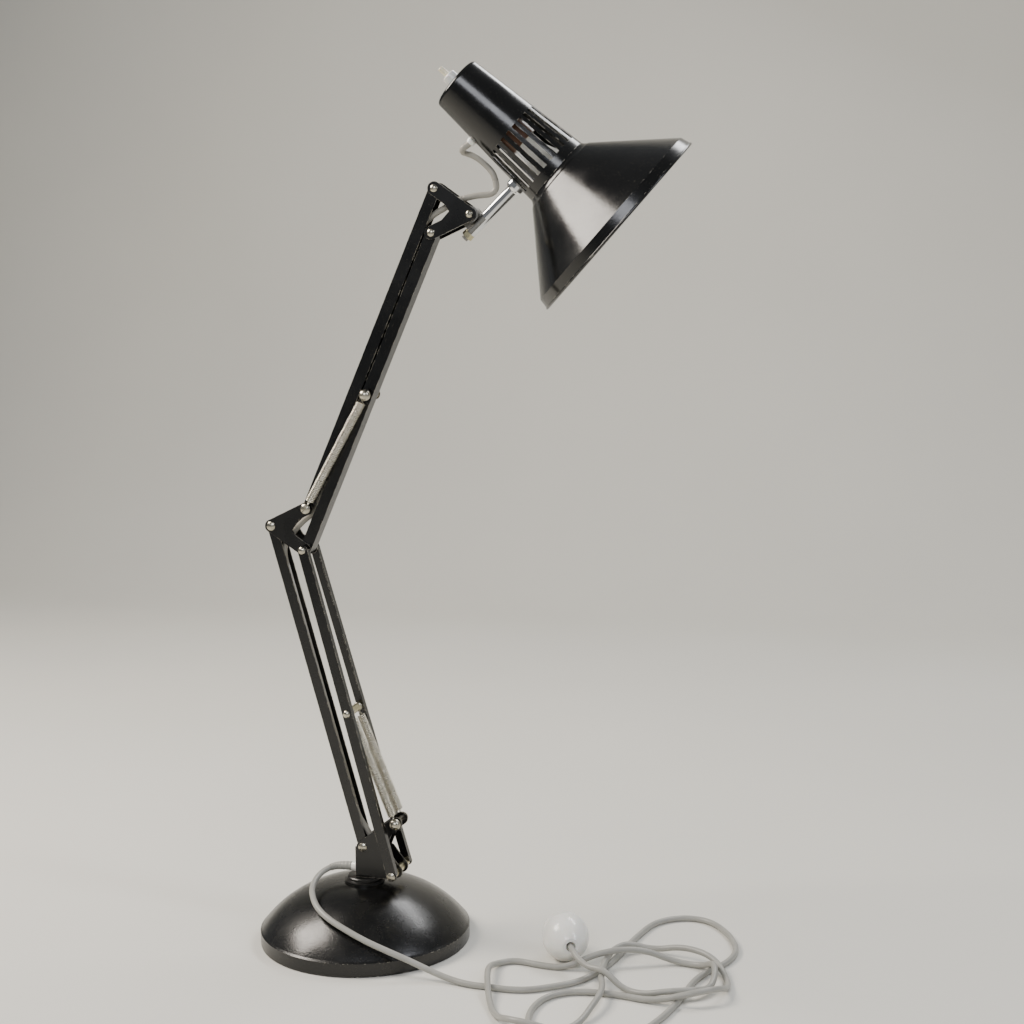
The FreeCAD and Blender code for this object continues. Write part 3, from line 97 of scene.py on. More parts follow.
SWEEP_FRONT = -3.0
SWEEP_BACK = 1.9
SWEEP_BEND = 0.9
SWEEP_TOP = 3.6
SWEEP_HALF = 4.0
outline = [(SWEEP_FRONT, 0.0), (SWEEP_BACK, 0.0)]
for step in range(1, 17):
    angle = math.radians(step * 90 / 16)
    outline.append((SWEEP_BACK + SWEEP_BEND * math.sin(angle), SWEEP_BEND * (1 - math.cos(angle))))
outline.append((SWEEP_BACK + SWEEP_BEND, SWEEP_TOP))
corners = [(x, y, z) for y, z in outline for x in (-SWEEP_HALF, SWEEP_HALF)]
sheets = [(2 * i, 2 * i + 1, 2 * i + 3, 2 * i + 2) for i in range(len(outline) - 1)]
sweep_mesh = bpy.data.meshes.new("paper_sweep")
sweep_mesh.from_pydata(corners, [], sheets)
sweep = bpy.data.objects.new("paper_sweep", sweep_mesh)
bpy.context.scene.collection.objects.link(sweep)
for face in sweep_mesh.polygons:
    face.use_smooth = True
paper, tree, shader = begin("matt_studio_paper", {"Roughness": 0.9, "Specular IOR Level": 0.2})
place = add(tree, "TexCoord", {})
cloud = add(tree, "TexNoise", {"Scale": 1 / 0.6, "Detail": 2.0, "Roughness": 0.5},
            ("Vector", place, "Object"))
toned = add(tree, "Mix", {"data_type": "RGBA", 6: linear("#D9D7CF"), 7: linear("#E2E0D8")},
            (0, cloud, 0))
tree.links.new(toned.outputs[2], shader.inputs["Base Color"])
sweep_mesh.materials.append(paper)

room = bpy.data.worlds.new("studio_room")
bpy.context.scene.world = room
room.use_nodes = True
room.node_tree.nodes["Background"].inputs[0].default_value = linear("#E9ECEF")
room.node_tree.nodes["Background"].inputs[1].default_value = 0.24
for label, spot, size, power, tint in (("key_softbox", (-1.6, -0.25, 2.0), (1.1, 1.1), 78, "#FFF6EA"),
                                       ("front_fill", (0.5, -2.6, 1.9), (1.6, 0.8), 34, "#F6F8FF"),
                                       ("strip_right", (2.1, -0.6, 1.6), (0.3, 1.4), 16, "#F3F6FF"),
                                       ("back_soft", (0.9, 1.5, 2.3), (1.6, 0.5), 30, "#FFFFFF")):
    lamp_data = bpy.data.lights.new(label, "AREA")
    lamp_data.shape = "RECTANGLE"
    lamp_data.size, lamp_data.size_y = size
    lamp_data.energy = power
    lamp_data.color = linear(tint)[:3]
    studio = bpy.data.objects.new(label, lamp_data)
    bpy.context.scene.collection.objects.link(studio)
    studio.location = spot
    studio.rotation_euler = (LIGHTS_AIM - Vector(spot)).to_track_quat("-Z", "Y").to_euler()


# Base cover: a pressed steel dome with an upright rim band, sprayed black and stoved.
# The enamel is glossy with a fine orange peel, and it is chipped to pale primer on the rim.
PEEL = 0.0016
CHIP_ROUND = 0.0009


def dress(material, *names):
    """Give CAD nodes a material."""
    for name in names:
        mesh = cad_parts[name].data
        mesh.materials.clear()
        mesh.materials.append(material)


def worn_edges(tree, place, reach, patch, keen):
    """How bare an edge is, from 0 to 1: only sharp outer edges wear, and only in patches."""
    rounded = add(tree, "Bevel", {"samples": 4, "Radius": reach})
    flat = add(tree, "NewGeometry", {})
    same = add(tree, "VectorMath", {"operation": "DOT_PRODUCT"}, (0, rounded, 0), (1, flat, "Normal"))
    edge = add(tree, "MapRange", {1: 0.985, 2: 0.86, 3: 0.0, 4: 1.0}, (0, same, "Value"))
    spread = add(tree, "TexNoise", {"Scale": 1 / patch, "Detail": 5.0, "Roughness": 0.65},
                 ("Vector", place, "Object"))
    patches = add(tree, "MapRange", {1: 0.56 - keen, 2: 0.6 - keen, 3: 0.0, 4: 1.0}, (0, spread, 0))
    return add(tree, "Math", {"operation": "MULTIPLY"}, (0, edge, 0), (1, patches, 0))


def stoved_enamel(name, gloss, peel, peel_height, bare, reach, patch, keen, dust):
    """Black stoving enamel on steel: deep gloss, faint dust, and bare metal or primer on worn edges."""
    material, tree, shader = begin(name, {"Specular IOR Level": 0.5, "Coat Weight": 0.08,
                                          "Coat Roughness": 0.1})
    place = add(tree, "TexCoord", {})
    smear = add(tree, "TexNoise", {"Scale": 1 / 0.045, "Detail": 4.0, "Roughness": 0.6},
                ("Vector", place, "Object"))
    black = add(tree, "Mix", {"data_type": "RGBA", 6: linear("#030303"), 7: linear("#0B0B0A")},
                (0, smear, 0))
    speck = add(tree, "TexNoise", {"Scale": 1 / 0.0011, "Detail": 1.0, "Roughness": 0.5},
                ("Vector", place, "Object"))
    dusty = add(tree, "MapRange", {1: 0.72 - dust, 2: 0.80 - dust, 3: 0.0, 4: 0.55}, (0, speck, 0))
    dusted = add(tree, "Mix", {"data_type": "RGBA", 7: linear("#5B574C")}, (0, dusty, 0), (6, black, 2))
    worn = worn_edges(tree, place, reach, patch, keen)
    coloured = add(tree, "Mix", {"data_type": "RGBA", 7: linear(bare)}, (0, worn, 0), (6, dusted, 2))
    tree.links.new(coloured.outputs[2], shader.inputs["Base Color"])
    dull = add(tree, "MapRange", {1: 0.35, 2: 0.7, 3: gloss, 4: gloss + 0.12}, (0, smear, 0))
    rough = add(tree, "Mix", {"data_type": "FLOAT", 3: 0.42}, (0, worn, 0), (2, dull, 0))
    tree.links.new(rough.outputs[0], shader.inputs["Roughness"])
    grain = add(tree, "TexNoise", {"Scale": 1 / peel, "Detail": 2.0, "Roughness": 0.5},
                ("Vector", place, "Object"))
    bump = add(tree, "Bump", {"Strength": 1.0, "Distance": peel_height}, ("Height", grain, 0))
    tree.links.new(bump.outputs[0], shader.inputs["Normal"])
    return material


cover_enamel = stoved_enamel("black_stoving_enamel_cover", 0.2, PEEL, 0.00016, "#CFC9B8",
                             CHIP_ROUND, 0.004, 0.0, 0.045)
dress(cover_enamel, "base_cover")

# Base weight, pad and bush: a cast-iron disc with a sand-cast skin, a felt foot glued under
# it, and a turned steel bush pressed through the middle for the bracket's pin.
iron, tree, shader = begin("sand_cast_iron", {"Metallic": 0.85, "Roughness": 0.62})
place = add(tree, "TexCoord", {})
sand = add(tree, "TexNoise", {"Scale": 1 / 0.0018, "Detail": 6.0, "Roughness": 0.7},
           ("Vector", place, "Object"))
toned = add(tree, "Mix", {"data_type": "RGBA", 6: linear("#2E2D2C"), 7: linear("#55524E")},
            (0, sand, 0))
tree.links.new(toned.outputs[2], shader.inputs["Base Color"])
bump = add(tree, "Bump", {"Strength": 1.0, "Distance": 0.0004}, ("Height", sand, 0))
tree.links.new(bump.outputs[0], shader.inputs["Normal"])
dress(iron, "base_weight")
felt, tree, shader = begin("pressed_wool_felt", {"Roughness": 0.95, "Sheen Weight": 0.5,
                                                 "Sheen Roughness": 0.6, "Specular IOR Level": 0.15})
place = add(tree, "TexCoord", {})
fibre = add(tree, "TexNoise", {"Scale": 1 / 0.0014, "Detail": 8.0, "Roughness": 0.75},
            ("Vector", place, "Object"))
toned = add(tree, "Mix", {"data_type": "RGBA", 6: linear("#1F2B22"), 7: linear("#3D4A3C")},
            (0, fibre, 0))
tree.links.new(toned.outputs[2], shader.inputs["Base Color"])
bump = add(tree, "Bump", {"Strength": 1.0, "Distance": 0.0005}, ("Height", fibre, 0))
tree.links.new(bump.outputs[0], shader.inputs["Normal"])
dress(felt, "base_pad")


def turned_metal(name, low, high, rough_low, rough_high, mark, mark_height, tarnish):
    """Plated or bare metal: its tone drifts, old finger marks dull it, and fine tool marks stay."""
    material, tree, shader = begin(name, {"Metallic": 1.0})
    place = add(tree, "TexCoord", {})
    drift = add(tree, "TexNoise", {"Scale": 1 / tarnish, "Detail": 5.0, "Roughness": 0.6},
                ("Vector", place, "Object"))
    toned = add(tree, "Mix", {"data_type": "RGBA", 6: linear(low), 7: linear(high)},
                (0, drift, 0))
    tree.links.new(toned.outputs[2], shader.inputs["Base Color"])
    dull = add(tree, "MapRange", {1: 0.3, 2: 0.7, 3: rough_high, 4: rough_low}, (0, drift, 0))
    tree.links.new(dull.outputs[0], shader.inputs["Roughness"])
    grain = add(tree, "TexNoise", {"Scale": 1 / mark, "Detail": 3.0, "Roughness": 0.5},
                ("Vector", place, "Object"))
    bump = add(tree, "Bump", {"Strength": 1.0, "Distance": mark_height}, ("Height", grain, 0))
    tree.links.new(bump.outputs[0], shader.inputs["Normal"])
    return material


turned_steel = turned_metal("turned_mild_steel", "#7E7B75", "#A8A49B", 0.28, 0.42, 0.0009, 0.00003, 0.006)
dress(turned_steel, "pivot_bush", "swivel_pin", "fixing_nut")

# Hub collar: a stepped ring of black moulded phenolic between the dome and the bracket.
# It is duller than the enamel, and rubbed on its upper edge where the bracket turns.
collar_plastic = stoved_enamel("black_moulded_phenolic", 0.32, 0.0008, 0.00002, "#6A675F",
                               0.0006, 0.003, 0.02, 0.03)
dress(collar_plastic, "hub_collar")

# Turning bracket: one piece of 2 mm sheet steel bent into two cheeks, a floor and a rear tab,
# painted black. The paint has gone from the cut edges, which show bright steel.
sheet_enamel = stoved_enamel("black_enamel_on_sheet_steel", 0.24, 0.0013, 0.00004, "#A39C8C",
                             0.0007, 0.007, 0.07, 0.02)
dress(sheet_enamel, "base_bracket", "elbow_plate_near", "elbow_plate_far", "head_plate_near",
      "head_plate_far")

# Rivets, pins and sleeves: steel, nickel plated, with domed heads and ball ends. The sleeves
# over the long pins are zinc plated and passivated, which leaves a warm straw tone.
nickel = turned_metal("dull_nickel_plate", "#938E80", "#CFCABA", 0.18, 0.36, 0.0007, 0.00003, 0.004)
dress(nickel, "rear_foot_pin", "front_foot_pin", "lower_spring_pin", "middle_pin", "elbow_rear_pin",
      "elbow_front_pin", "elbow_screw", "upper_spring_pin", "head_top_pin", "head_low_pin", "tilt_bolt")
straw_zinc = turned_metal("straw_passivated_zinc", "#A59C77", "#DDD6B6", 0.22, 0.4, 0.0008, 0.00003,
                          0.005)
dress(straw_zinc, "front_pin_spacers", "middle_spacers", "stem_nut")

# Lower arm: one U channel behind and two angle bars in front, folded from 1.2 mm steel.
# Long thin bars catch light on their folds, and the enamel there has rubbed through in lines.
bar_enamel = stoved_enamel("black_enamel_on_folded_bar", 0.2, 0.0014, 0.00004, "#B8B1A0",
                           0.0006, 0.011, 0.075, 0.03)
dress(bar_enamel, "rear_channel", "front_bar_near", "front_bar_far", "upper_bar_rear",
      "upper_bar_front")

# Balance springs: close-wound coils of 1.8 mm plated spring wire, with a hook at each end
# that goes round its pin. Two sit beside the lower arm and two beside the upper arm.
WIRE = 0.0009
PITCH = 0.0019
COIL_END = 0.0085
EYE_RADIUS = 0.0041
TURN_POINTS = 14
HOOK_LEAD = 0.0022


def across(direction):
    """A unit vector square to a direction."""
    other = Vector((0, 0, 1)) if abs(direction.z) < 0.8 else Vector((1, 0, 0))
    return direction.cross(other).normalized()


def swept(name, path, radii, sides):
    """A round tube along a path, with a radius at each point and closed ends."""
    points = [Vector(p) for p in path]
    count = len(points)
    heading = (points[1] - points[0]).normalized()
    side = across(heading)
    spots = []
    for i in range(count):
        ahead = (points[min(i + 1, count - 1)] - points[max(i - 1, 0)]).normalized()
        side = heading.rotation_difference(ahead) @ side
        side = (side - ahead * side.dot(ahead)).normalized()
        heading = ahead
        up = heading.cross(side)
        for k in range(sides):
            angle = 2 * math.pi * k / sides
            spots.append(points[i] + (side * math.cos(angle) + up * math.sin(angle)) * radii[i])
    faces = []
    for i in range(count - 1):
        for k in range(sides):
            nxt = (k + 1) % sides
            faces.append((i * sides + k, i * sides + nxt, (i + 1) * sides + nxt, (i + 1) * sides + k))
    faces.append(tuple(reversed(range(sides))))
    faces.append(tuple((count - 1) * sides + k for k in range(sides)))
    mesh = bpy.data.meshes.new(name)
    mesh.from_pydata(spots, [], faces)
    mesh.polygons.foreach_set("use_smooth", [len(f) == 4 for f in faces])
    made = bpy.data.objects.new(name, mesh)
    bpy.context.scene.collection.objects.link(made)
    return made


def pin_eye(centre, inwards):
    """Wire points round a pin at centre, from the side that faces inwards, back to that side."""
    spots = []
    for k in range(17):
        angle = math.radians(-8 - k * 20.5)
        spots.append(centre + Matrix.Rotation(angle, 4, "Y") @ inwards * EYE_RADIUS)
    return spots


def coil_spring(name, first, second, radius):
    """A close-wound coil between two pins, with its wire led to the axis and round each pin."""
    along = (second - first).normalized()
    side = across(along)
    up = along.cross(side)
    foot = first + along * (COIL_END + WIRE)
    length = (second - first).length - 2 * (COIL_END + WIRE)
    turns = round(length / PITCH)
    coil = []
    for k in range(turns * TURN_POINTS + 1):
        angle = 2 * math.pi * k / TURN_POINTS
        rise = length * k / (turns * TURN_POINTS)
        out = side * math.cos(angle) + up * math.sin(angle)
        coil.append(foot + along * rise + out * (radius - WIRE))
    path = list(reversed(pin_eye(first, along)))
    path.append(first + along * (EYE_RADIUS + HOOK_LEAD))
    path += coil
    path.append(second - along * (EYE_RADIUS + HOOK_LEAD))
    path += pin_eye(second, -along)
    return swept(name, path, [WIRE] * len(path), 8)


spring_wire, tree, shader = begin("zinc_plated_spring_wire", {"Metallic": 1.0})
place = add(tree, "TexCoord", {})
drift = add(tree, "TexNoise", {"Scale": 1 / 0.012, "Detail": 4.0, "Roughness": 0.6},
            ("Vector", place, "Object"))
toned = add(tree, "Mix", {"data_type": "RGBA", 6: linear("#A39E90"), 7: linear("#E2DED0")},
            (0, drift, 0))
tree.links.new(toned.outputs[2], shader.inputs["Base Color"])
dull = add(tree, "MapRange", {1: 0.3, 2: 0.7, 3: 0.34, 4: 0.18}, (0, drift, 0))
tree.links.new(dull.outputs[0], shader.inputs["Roughness"])
scratch = add(tree, "TexNoise", {"Scale": 1 / 0.0006, "Detail": 2.0, "Roughness": 0.5},
              ("Vector", place, "Object"))
bump = add(tree, "Bump", {"Strength": 1.0, "Distance": 0.00002}, ("Height", scratch, 0))
tree.links.new(bump.outputs[0], shader.inputs["Normal"])

LOWER_COIL_RADIUS = 0.0048
SPRING_POST = Vector((0.0405, 0, 0.134))
MIDDLE_PIN = Vector((-0.00877, 0, 0.25586))
for label, y in (("near", -0.0119), ("far", 0.0119)):
    spring = coil_spring("lower_coil_" + label, SPRING_POST + Vector((0, y, 0)),
                         MIDDLE_PIN + Vector((0, y, 0)), LOWER_COIL_RADIUS)
    spring.data.materials.append(spring_wire)
    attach(spring, "lower_springs")
    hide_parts("lower_spring_" + label)

UPPER_COIL_RADIUS = 0.0052
ELBOW_SCREW = Vector((-0.05354, 0, 0.47673))
UPPER_PIN = Vector((0.016105, 0, 0.598705))
for label, y in (("near", -0.0145), ("far", 0.0145)):
    spring = coil_spring("upper_coil_" + label, ELBOW_SCREW + Vector((0, y, 0)),
                         UPPER_PIN + Vector((0, y, 0)), UPPER_COIL_RADIUS)
    spring.data.materials.append(spring_wire)
    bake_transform(spring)
    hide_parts("upper_spring_" + label)
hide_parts("upper_spring_hooks")

# Tilt knuckle: zinc, pressure die cast and left bare. The skin is grey with a fine grain.
die_cast, tree, shader = begin("bare_die_cast_zinc", {"Metallic": 0.9})
place = add(tree, "TexCoord", {})
skin = add(tree, "TexNoise", {"Scale": 1 / 0.003, "Detail": 6.0, "Roughness": 0.65},
           ("Vector", place, "Object"))
toned = add(tree, "Mix", {"data_type": "RGBA", 6: linear("#6D6C69"), 7: linear("#A2A09A")},
            (0, skin, 0))
tree.links.new(toned.outputs[2], shader.inputs["Base Color"])
dull = add(tree, "MapRange", {1: 0.3, 2: 0.7, 3: 0.55, 4: 0.36}, (0, skin, 0))
tree.links.new(dull.outputs[0], shader.inputs["Roughness"])
bump = add(tree, "Bump", {"Strength": 1.0, "Distance": 0.0001}, ("Height", skin, 0))
tree.links.new(bump.outputs[0], shader.inputs["Normal"])
dress(die_cast, "knuckle")

# Stem and flange: steel tube and a domed flange, polished and chromium plated. The plate is
# mirror bright with a few fine pits and rubbing marks.
chrome = turned_metal("bright_chromium_plate", "#C9CACB", "#EDEEEE", 0.05, 0.13, 0.0008, 0.00001, 0.02)
dress(chrome, "stem_tube", "stem_flange")

# Lamp housing and shade: spun steel and aluminium, black enamel outside. The shade is sprayed
# white inside to throw the light down, and its rolled lip is chipped by handling.
head_enamel = stoved_enamel("black_enamel_on_spun_metal", 0.14, 0.0026, 0.00005, "#C4BFB2",
                            0.0008, 0.006, 0.03, 0.02)
dress(head_enamel, "lamp_housing", "shade")

HEAD_REAR = Vector((0.120765, -0.020223, 0.914566))
HEAD_AXIS = Vector((0.726922, 0.173143, -0.664535))


def head_turned(name, profile, steps=96):
    """A surface turned about the head's axis from (station, radius) points, in metres."""
    axis = HEAD_AXIS.normalized()
    side = across(axis)
    up = axis.cross(side)
    spots = []
    for station, radius in profile:
        for k in range(steps):
            angle = 2 * math.pi * k / steps
            out = side * math.cos(angle) + up * math.sin(angle)
            spots.append(HEAD_REAR + axis * station + out * radius)
    faces = []
    for i in range(len(profile) - 1):
        for k in range(steps):
            nxt = (k + 1) % steps
            faces.append((i * steps + k, i * steps + nxt, (i + 1) * steps + nxt, (i + 1) * steps + k))
    mesh = bpy.data.meshes.new(name)
    mesh.from_pydata(spots, [], faces)
    mesh.polygons.foreach_set("use_smooth", [True] * len(faces))
    made = bpy.data.objects.new(name, mesh)
    bpy.context.scene.collection.objects.link(made)
    return made


lining = head_turned("white_reflector_coat", [(0.1385, 0.0379), (0.1440, 0.0436), (0.1600, 0.0588),
                                              (0.1800, 0.0778), (0.2000, 0.0968), (0.2082, 0.1046),
                                              (0.2100, 0.1062), (0.2175, 0.1075)])
white_coat, tree, shader = begin("matt_white_reflector_enamel", {"Roughness": 0.45, "Coat Weight": 0.1})
place = add(tree, "TexCoord", {})
age = add(tree, "TexNoise", {"Scale": 1 / 0.03, "Detail": 5.0, "Roughness": 0.6},
          ("Vector", place, "Object"))
toned = add(tree, "Mix", {"data_type": "RGBA", 6: linear("#E3DECF"), 7: linear("#F2EFE6")},
            (0, age, 0))
tree.links.new(toned.outputs[2], shader.inputs["Base Color"])
spray = add(tree, "TexNoise", {"Scale": 1 / 0.0012, "Detail": 2.0, "Roughness": 0.5},
            ("Vector", place, "Object"))
bump = add(tree, "Bump", {"Strength": 1.0, "Distance": 0.00004}, ("Height", spray, 0))
tree.links.new(bump.outputs[0], shader.inputs["Normal"])
lining.data.materials.append(white_coat)
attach(lining, "head")

# Lampholder, cap and bulb: a brown phenolic holder and a pearl glass bulb with a brass cap.
# The glass is etched inside, so nothing behind it shows and the filament is left out.
phenolic, tree, shader = begin("brown_moulded_phenolic", {"Roughness": 0.3, "Coat Weight": 0.3})
place = add(tree, "TexCoord", {})
marble = add(tree, "TexNoise", {"Scale": 1 / 0.008, "Detail": 6.0, "Roughness": 0.65},
             ("Vector", place, "Object"))
toned = add(tree, "Mix", {"data_type": "RGBA", 6: linear("#38200F"), 7: linear("#6B4020")},
            (0, marble, 0))
tree.links.new(toned.outputs[2], shader.inputs["Base Color"])
bump = add(tree, "Bump", {"Strength": 1.0, "Distance": 0.00005}, ("Height", marble, 0))
tree.links.new(bump.outputs[0], shader.inputs["Normal"])
dress(phenolic, "lampholder")
brass = turned_metal("rolled_brass", "#A57C36", "#D9B15E", 0.2, 0.36, 0.0008, 0.00003, 0.006)
dress(brass, "bulb_cap", "plug_blades")
pearl, tree, shader = begin("pearl_bulb_glass", {"Transmission Weight": 0.75, "IOR": 1.5})
place = add(tree, "TexCoord", {})
frost = add(tree, "TexNoise", {"Scale": 1 / 0.001, "Detail": 4.0, "Roughness": 0.5},
            ("Vector", place, "Object"))
toned = add(tree, "Mix", {"data_type": "RGBA", 6: linear("#ECECE8"), 7: linear("#FAFAF7")},
            (0, frost, 0))
tree.links.new(toned.outputs[2], shader.inputs["Base Color"])
etched = add(tree, "MapRange", {1: 0.3, 2: 0.7, 3: 0.38, 4: 0.5}, (0, frost, 0))
tree.links.new(etched.outputs[0], shader.inputs["Roughness"])
bump = add(tree, "Bump", {"Strength": 1.0, "Distance": 0.00003}, ("Height", frost, 0))
tree.links.new(bump.outputs[0], shader.inputs["Normal"])
dress(pearl, "bulb")


# White fittings: moulded urea, hard and glossy, for the ring nut, the two cord bushes and the
# plug. It has yellowed a little. The button is a creamier tone.
def moulded_urea(name, low, high, roughness):
    """Hard glossy moulded plastic with a faint yellowing and a smooth wavy skin."""
    material, tree, shader = begin(name, {"Roughness": roughness, "Coat Weight": 0.2,
                                          "Subsurface Weight": 0.08, "Subsurface Scale": 0.002})
    place = add(tree, "TexCoord", {})
    age = add(tree, "TexNoise", {"Scale": 1 / 0.009, "Detail": 5.0, "Roughness": 0.6},
              ("Vector", place, "Object"))
    toned = add(tree, "Mix", {"data_type": "RGBA", 6: linear(low), 7: linear(high)},
                (0, age, 0))
    tree.links.new(toned.outputs[2], shader.inputs["Base Color"])
    wave = add(tree, "TexNoise", {"Scale": 1 / 0.004, "Detail": 2.0, "Roughness": 0.5},
               ("Vector", place, "Object"))
    bump = add(tree, "Bump", {"Strength": 1.0, "Distance": 0.00003}, ("Height", wave, 0))
    tree.links.new(bump.outputs[0], shader.inputs["Normal"])
    return material


white_urea = moulded_urea("white_moulded_urea", "#E9E7DF", "#F7F6F1", 0.2)
cream_urea = moulded_urea("cream_moulded_urea", "#D8CFB0", "#E9E2C8", 0.28)
dress(white_urea, "switch_collar", "cord_ferrule", "lead_bush", "plug_body")
dress(cream_urea, "push_button")


# Lamp lead: round grey flexible cord, 6.4 mm, drawn through both arms and looped free beside
# the stem. It is one length of soft PVC, shown as the stretches that bend at each joint.
LEAD_RADIUS = 0.0032
REAR_FOOT = (0.002, 0.105)
ELBOW_TOP = (-0.05354, 0.47673)
LOWER_LEAN = math.radians(-15.5)
UPPER_LEAN = math.radians(23.8)


def in_arm(foot, lean, reach, offset):
    """A point in an arm, in metres, at a distance along it and an offset towards its front."""
    return (foot[0] + reach * math.sin(lean) + offset * math.cos(lean), 0.0,
            foot[1] + reach * math.cos(lean) - offset * math.sin(lean))


def lower(reach, offset):
    """A point in the lower arm's channel, from millimetres."""
    return in_arm(REAR_FOOT, LOWER_LEAN, reach / 1000, offset / 1000)


def upper(reach, offset):
    """A point in the upper arm's rear bar, from millimetres."""
    return in_arm(ELBOW_TOP, UPPER_LEAN, reach / 1000, offset / 1000)


def metres(*places):
    """Points in metres from millimetres."""
    return [(x / 1000, y / 1000, z / 1000) for x, y, z in places]


def smooth_line(places):
    """Points read along the smooth NURBS spline that has these places as its control points."""
    curve = bpy.data.curves.new("line", "CURVE")
    curve.dimensions = "3D"
    curve.resolution_u = 10
    spline = curve.splines.new("NURBS")
    spline.points.add(len(places) - 1)
    for spot, place in zip(spline.points, places):
        spot.co = (*place, 1.0)
    spline.order_u = 3
    spline.use_endpoint_u = True
    bare = bpy.data.objects.new("line", curve)
    bpy.context.scene.collection.objects.link(bare)
    bpy.context.view_layer.update()
    mesh = bpy.data.meshes.new_from_object(bare.evaluated_get(bpy.context.evaluated_depsgraph_get()))
    line = [v.co.copy() for v in mesh.vertices]
    bpy.data.objects.remove(bare)
    bpy.data.curves.remove(curve)
    bpy.data.meshes.remove(mesh)
    return line


def soft_pvc(name, low, high, roughness):
    """Soft PVC cord sheath: satin, slightly wavy from the cores inside, and grubby in places."""
    material, tree, shader = begin(name, {"Roughness": roughness, "Specular IOR Level": 0.45})
    place = add(tree, "TexCoord", {})
    grime = add(tree, "TexNoise", {"Scale": 1 / 0.02, "Detail": 6.0, "Roughness": 0.65},
                ("Vector", place, "Object"))
    toned = add(tree, "Mix", {"data_type": "RGBA", 6: linear(low), 7: linear(high)},
                (0, grime, 0))
    tree.links.new(toned.outputs[2], shader.inputs["Base Color"])
    cores = add(tree, "TexNoise", {"Scale": 1 / 0.006, "Detail": 2.0, "Roughness": 0.5},
                ("Vector", place, "Object"))
    bump = add(tree, "Bump", {"Strength": 0.6, "Distance": 0.0002}, ("Height", cores, 0))
    tree.links.new(bump.outputs[0], shader.inputs["Normal"])
    return material


lead_pvc = soft_pvc("grey_lead_pvc", "#8E8A80", "#B3AFA4", 0.4)
FORK = (122.0, 0, 800.2)
LOOP = (156.4, -0.3, 817.4)
leads = {
    "lead_foot": (metres((-3.5, 0, 79), (4.5, 0, 79), (12, 0, 83), (14.5, 0, 93))
                  + [lower(3, 8.8), lower(16, 6.6), lower(28, 1.8), lower(37, 0.6), lower(45, 0.6)],
                  "turning_bracket", "lower_rear_link", 1, 6),
    "lead_lower": ([lower(45, 0.6), lower(320, 0.6)], "lower_rear_link", None, 0, 0),
    "lead_elbow_low": ([lower(320, 0.6), lower(329, 0.6), lower(341, 4.2)]
                       + metres((-77.48, 0, 445.94), (-70.0, 0, 454.0)),
                       "lower_rear_link", "elbow", 1, 3),
    "lead_elbow_high": (metres((-70.0, 0, 454.0), (-61.84, 0, 462.8))
                        + [upper(-2, 7.6), upper(12, 7.2), upper(26, 2.2), upper(36, 0.6), upper(45, 0.6)],
                        "elbow", "upper_rear_link", 1, 4),
    "lead_upper": ([upper(45, 0.6), upper(320, 0.6)], "upper_rear_link", None, 0, 0),
    "lead_fork": ([upper(320, 0.6), upper(328, 0.6), upper(342, 8.2)]
                  + metres((104, 0, 792), (113.2, 0, 798.33), FORK),
                  "upper_rear_link", "head_bracket", 1, 4),
    "lead_loop_low": (metres(FORK, (133.25, 0, 802.59), (142.4, 0.3, 803.2), (150.4, 0.4, 803.6),
                             (155.6, 0.5, 806.6), (157.78, 0.31, 811.59), LOOP),
                      "head_bracket", "tilt_knuckle", 1, 5),
    "lead_loop_high": (metres(LOOP, (154.9, -0.96, 823.69), (150.4, -0.5, 829.4), (145, -0.1, 834.8),
                              (138.6, 0.6, 839.8), (132.6, 1.3, 843.4), (127.2, -0.6, 845.4),
                              (123.2, -6.2, 846.4), (125.2, -12.2, 849.6), (130.66, -11.06, 852.63),
                              (136.72, -11.06, 858.3)),
                       "tilt_knuckle", "head", 0, 4),
}
for label, (route, body, next_body, from_point, to_point) in leads.items():
    line = smooth_line(route) if len(route) > 2 else [Vector(p) for p in route]
    lead = swept(label + "_sheath", line, [LEAD_RADIUS] * len(line), 14)
    lead.data.materials.append(lead_pvc)
    if next_body:
        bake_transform(lead)
    else:
        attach(lead, body)
    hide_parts(label)

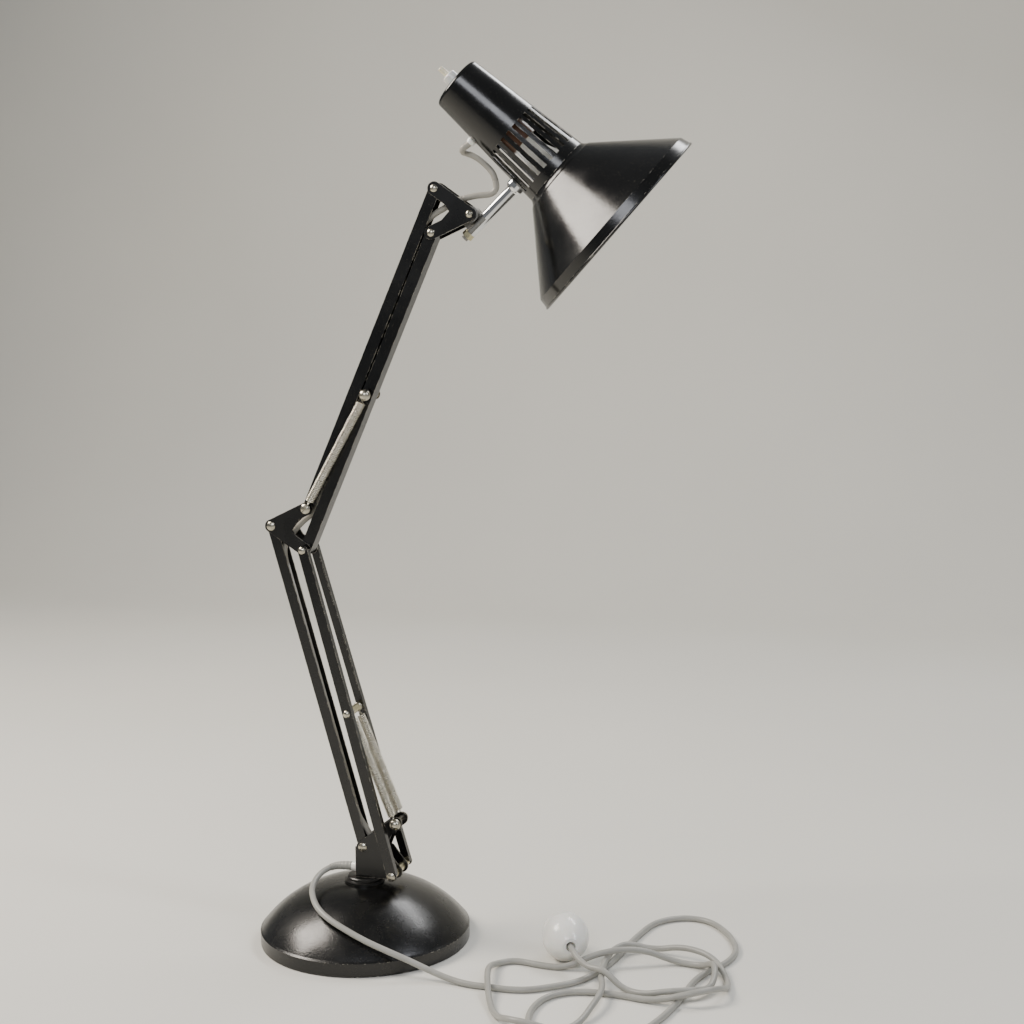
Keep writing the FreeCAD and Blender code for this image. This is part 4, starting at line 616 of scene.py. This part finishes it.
# Mains cord: 6.4 mm round pale grey PVC. It leaves the bracket's bush, runs round the dome and
# over the rim, and lies on the table in loose turns up to its plug.
mains_pvc = soft_pvc("pale_grey_cord_pvc", "#8C8B85", "#A9A8A1", 0.36)
mains = metres(
    (-14.5, 0, 79), (-27.5, 0, 79), (-37, -3, 77.5), (-44, -12, 75), (-47, -27, 71.5), (-45, -44, 67),
    (-38, -60, 62.5), (-27, -75, 57), (-11, -87, 51.5), (10, -95, 45), (34, -100, 36.5), (59, -101, 28),
    (84, -99, 18.5), (107, -99, 9.5), (127, -102, 4.6), (147, -107, 3.3), (168, -108, 3.3),
    (190, -110, 3.3), (212, -106, 3.3), (234, -92, 3.3), (252, -79, 3.3), (265, -60, 3.3),
    (276, -34, 3.3), (284, 0, 3.3), (290, 36, 3.3), (298, 72, 3.3), (306, 98, 3.3), (322, 115.5, 3.3),
    (343, 124, 3.3), (366, 118.5, 3.3), (384, 98, 3.3), (399, 66, 3.3), (405, 38, 3.3), (399, 8, 3.3),
    (382, -18, 3.3), (370, -46, 3.3), (364, -90, 3.3), (355, -128, 3.3), (345, -157, 3.3),
    (332, -186, 3.3), (306, -207, 3.3), (272, -214, 3.3), (243, -207, 3.3), (228, -184, 3.3),
    (223, -150, 3.3), (231, -117, 3.3), (256, -98, 3.3), (296, -96, 3.3), (338, -105, 3.3),
    (376, -105, 15.5), (399, -88, 15.5), (407, -58, 3.3), (401, -28, 3.3), (384, -2, 13.3),
    (350, 16, 13.3), (318, 24, 3.3), (292, 19, 10.5), (279, 2, 10.5), (275, -30, 10), (277, -66, 10.5),
    (287, -104, 10.5), (284, -140, 10.5), (276, -172, 3.3), (260, -192, 3.3), (236, -199, 12),
    (212, -194, 12), (195, -174, 3.3), (182, -150, 3.3), (170, -115, 10.8), (160, -76, 10.8),
    (163, -48, 3.3), (180, -36, 3.3), (206, -43, 3.3), (236, -45, 3.3), (270, -30, 18.5),
    (310, -12, 18.5), (345, -3, 3.3), (374, -7, 3.3), (391, -28, 17.5), (391, -62, 3.3),
    (374, -86, 10.5), (350, -94, 10.5), (325, -91, 3.3), (302, -82, 3.3), (282, -75, 19),
    (264, -67, 16), (251, -58.5, 21.5), (243.6, -47.8, 25.1), (238, -34.6, 25.1))
line = smooth_line(mains)
cord = swept("mains_cord_sheath", line, [LEAD_RADIUS] * len(line), 14)
cord.data.materials.append(mains_pvc)
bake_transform(cord)
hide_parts("mains_cord", "cord_coil")

# Strain relief: a short tapered sleeve of the same grey PVC, pushed over the cord where it
# leaves the bush, so that the cord doesn't kink there. It is ribbed so that it bends evenly.
RELIEF_LENGTH = 0.024
RELIEF_RADIUS = 0.0047
RELIEF_TAPER = 0.0011
RIB_RISE = 0.00022
RIB_SINK = -0.00005
relief_line = []
gone = 0.0
for here, ahead in zip(line, line[1:]):
    if gone > RELIEF_LENGTH:
        break
    for part in range(4):
        relief_line.append(here.lerp(ahead, part / 4))
    gone += (ahead - here).length
count = len(relief_line)
relief_radii = [RELIEF_RADIUS - RELIEF_TAPER * i / count + (RIB_RISE if i % 8 < 4 else RIB_SINK)
                for i in range(count)]
relief = swept("cord_strain_relief", relief_line, relief_radii, 20)
relief.data.materials.append(mains_pvc)
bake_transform(relief)
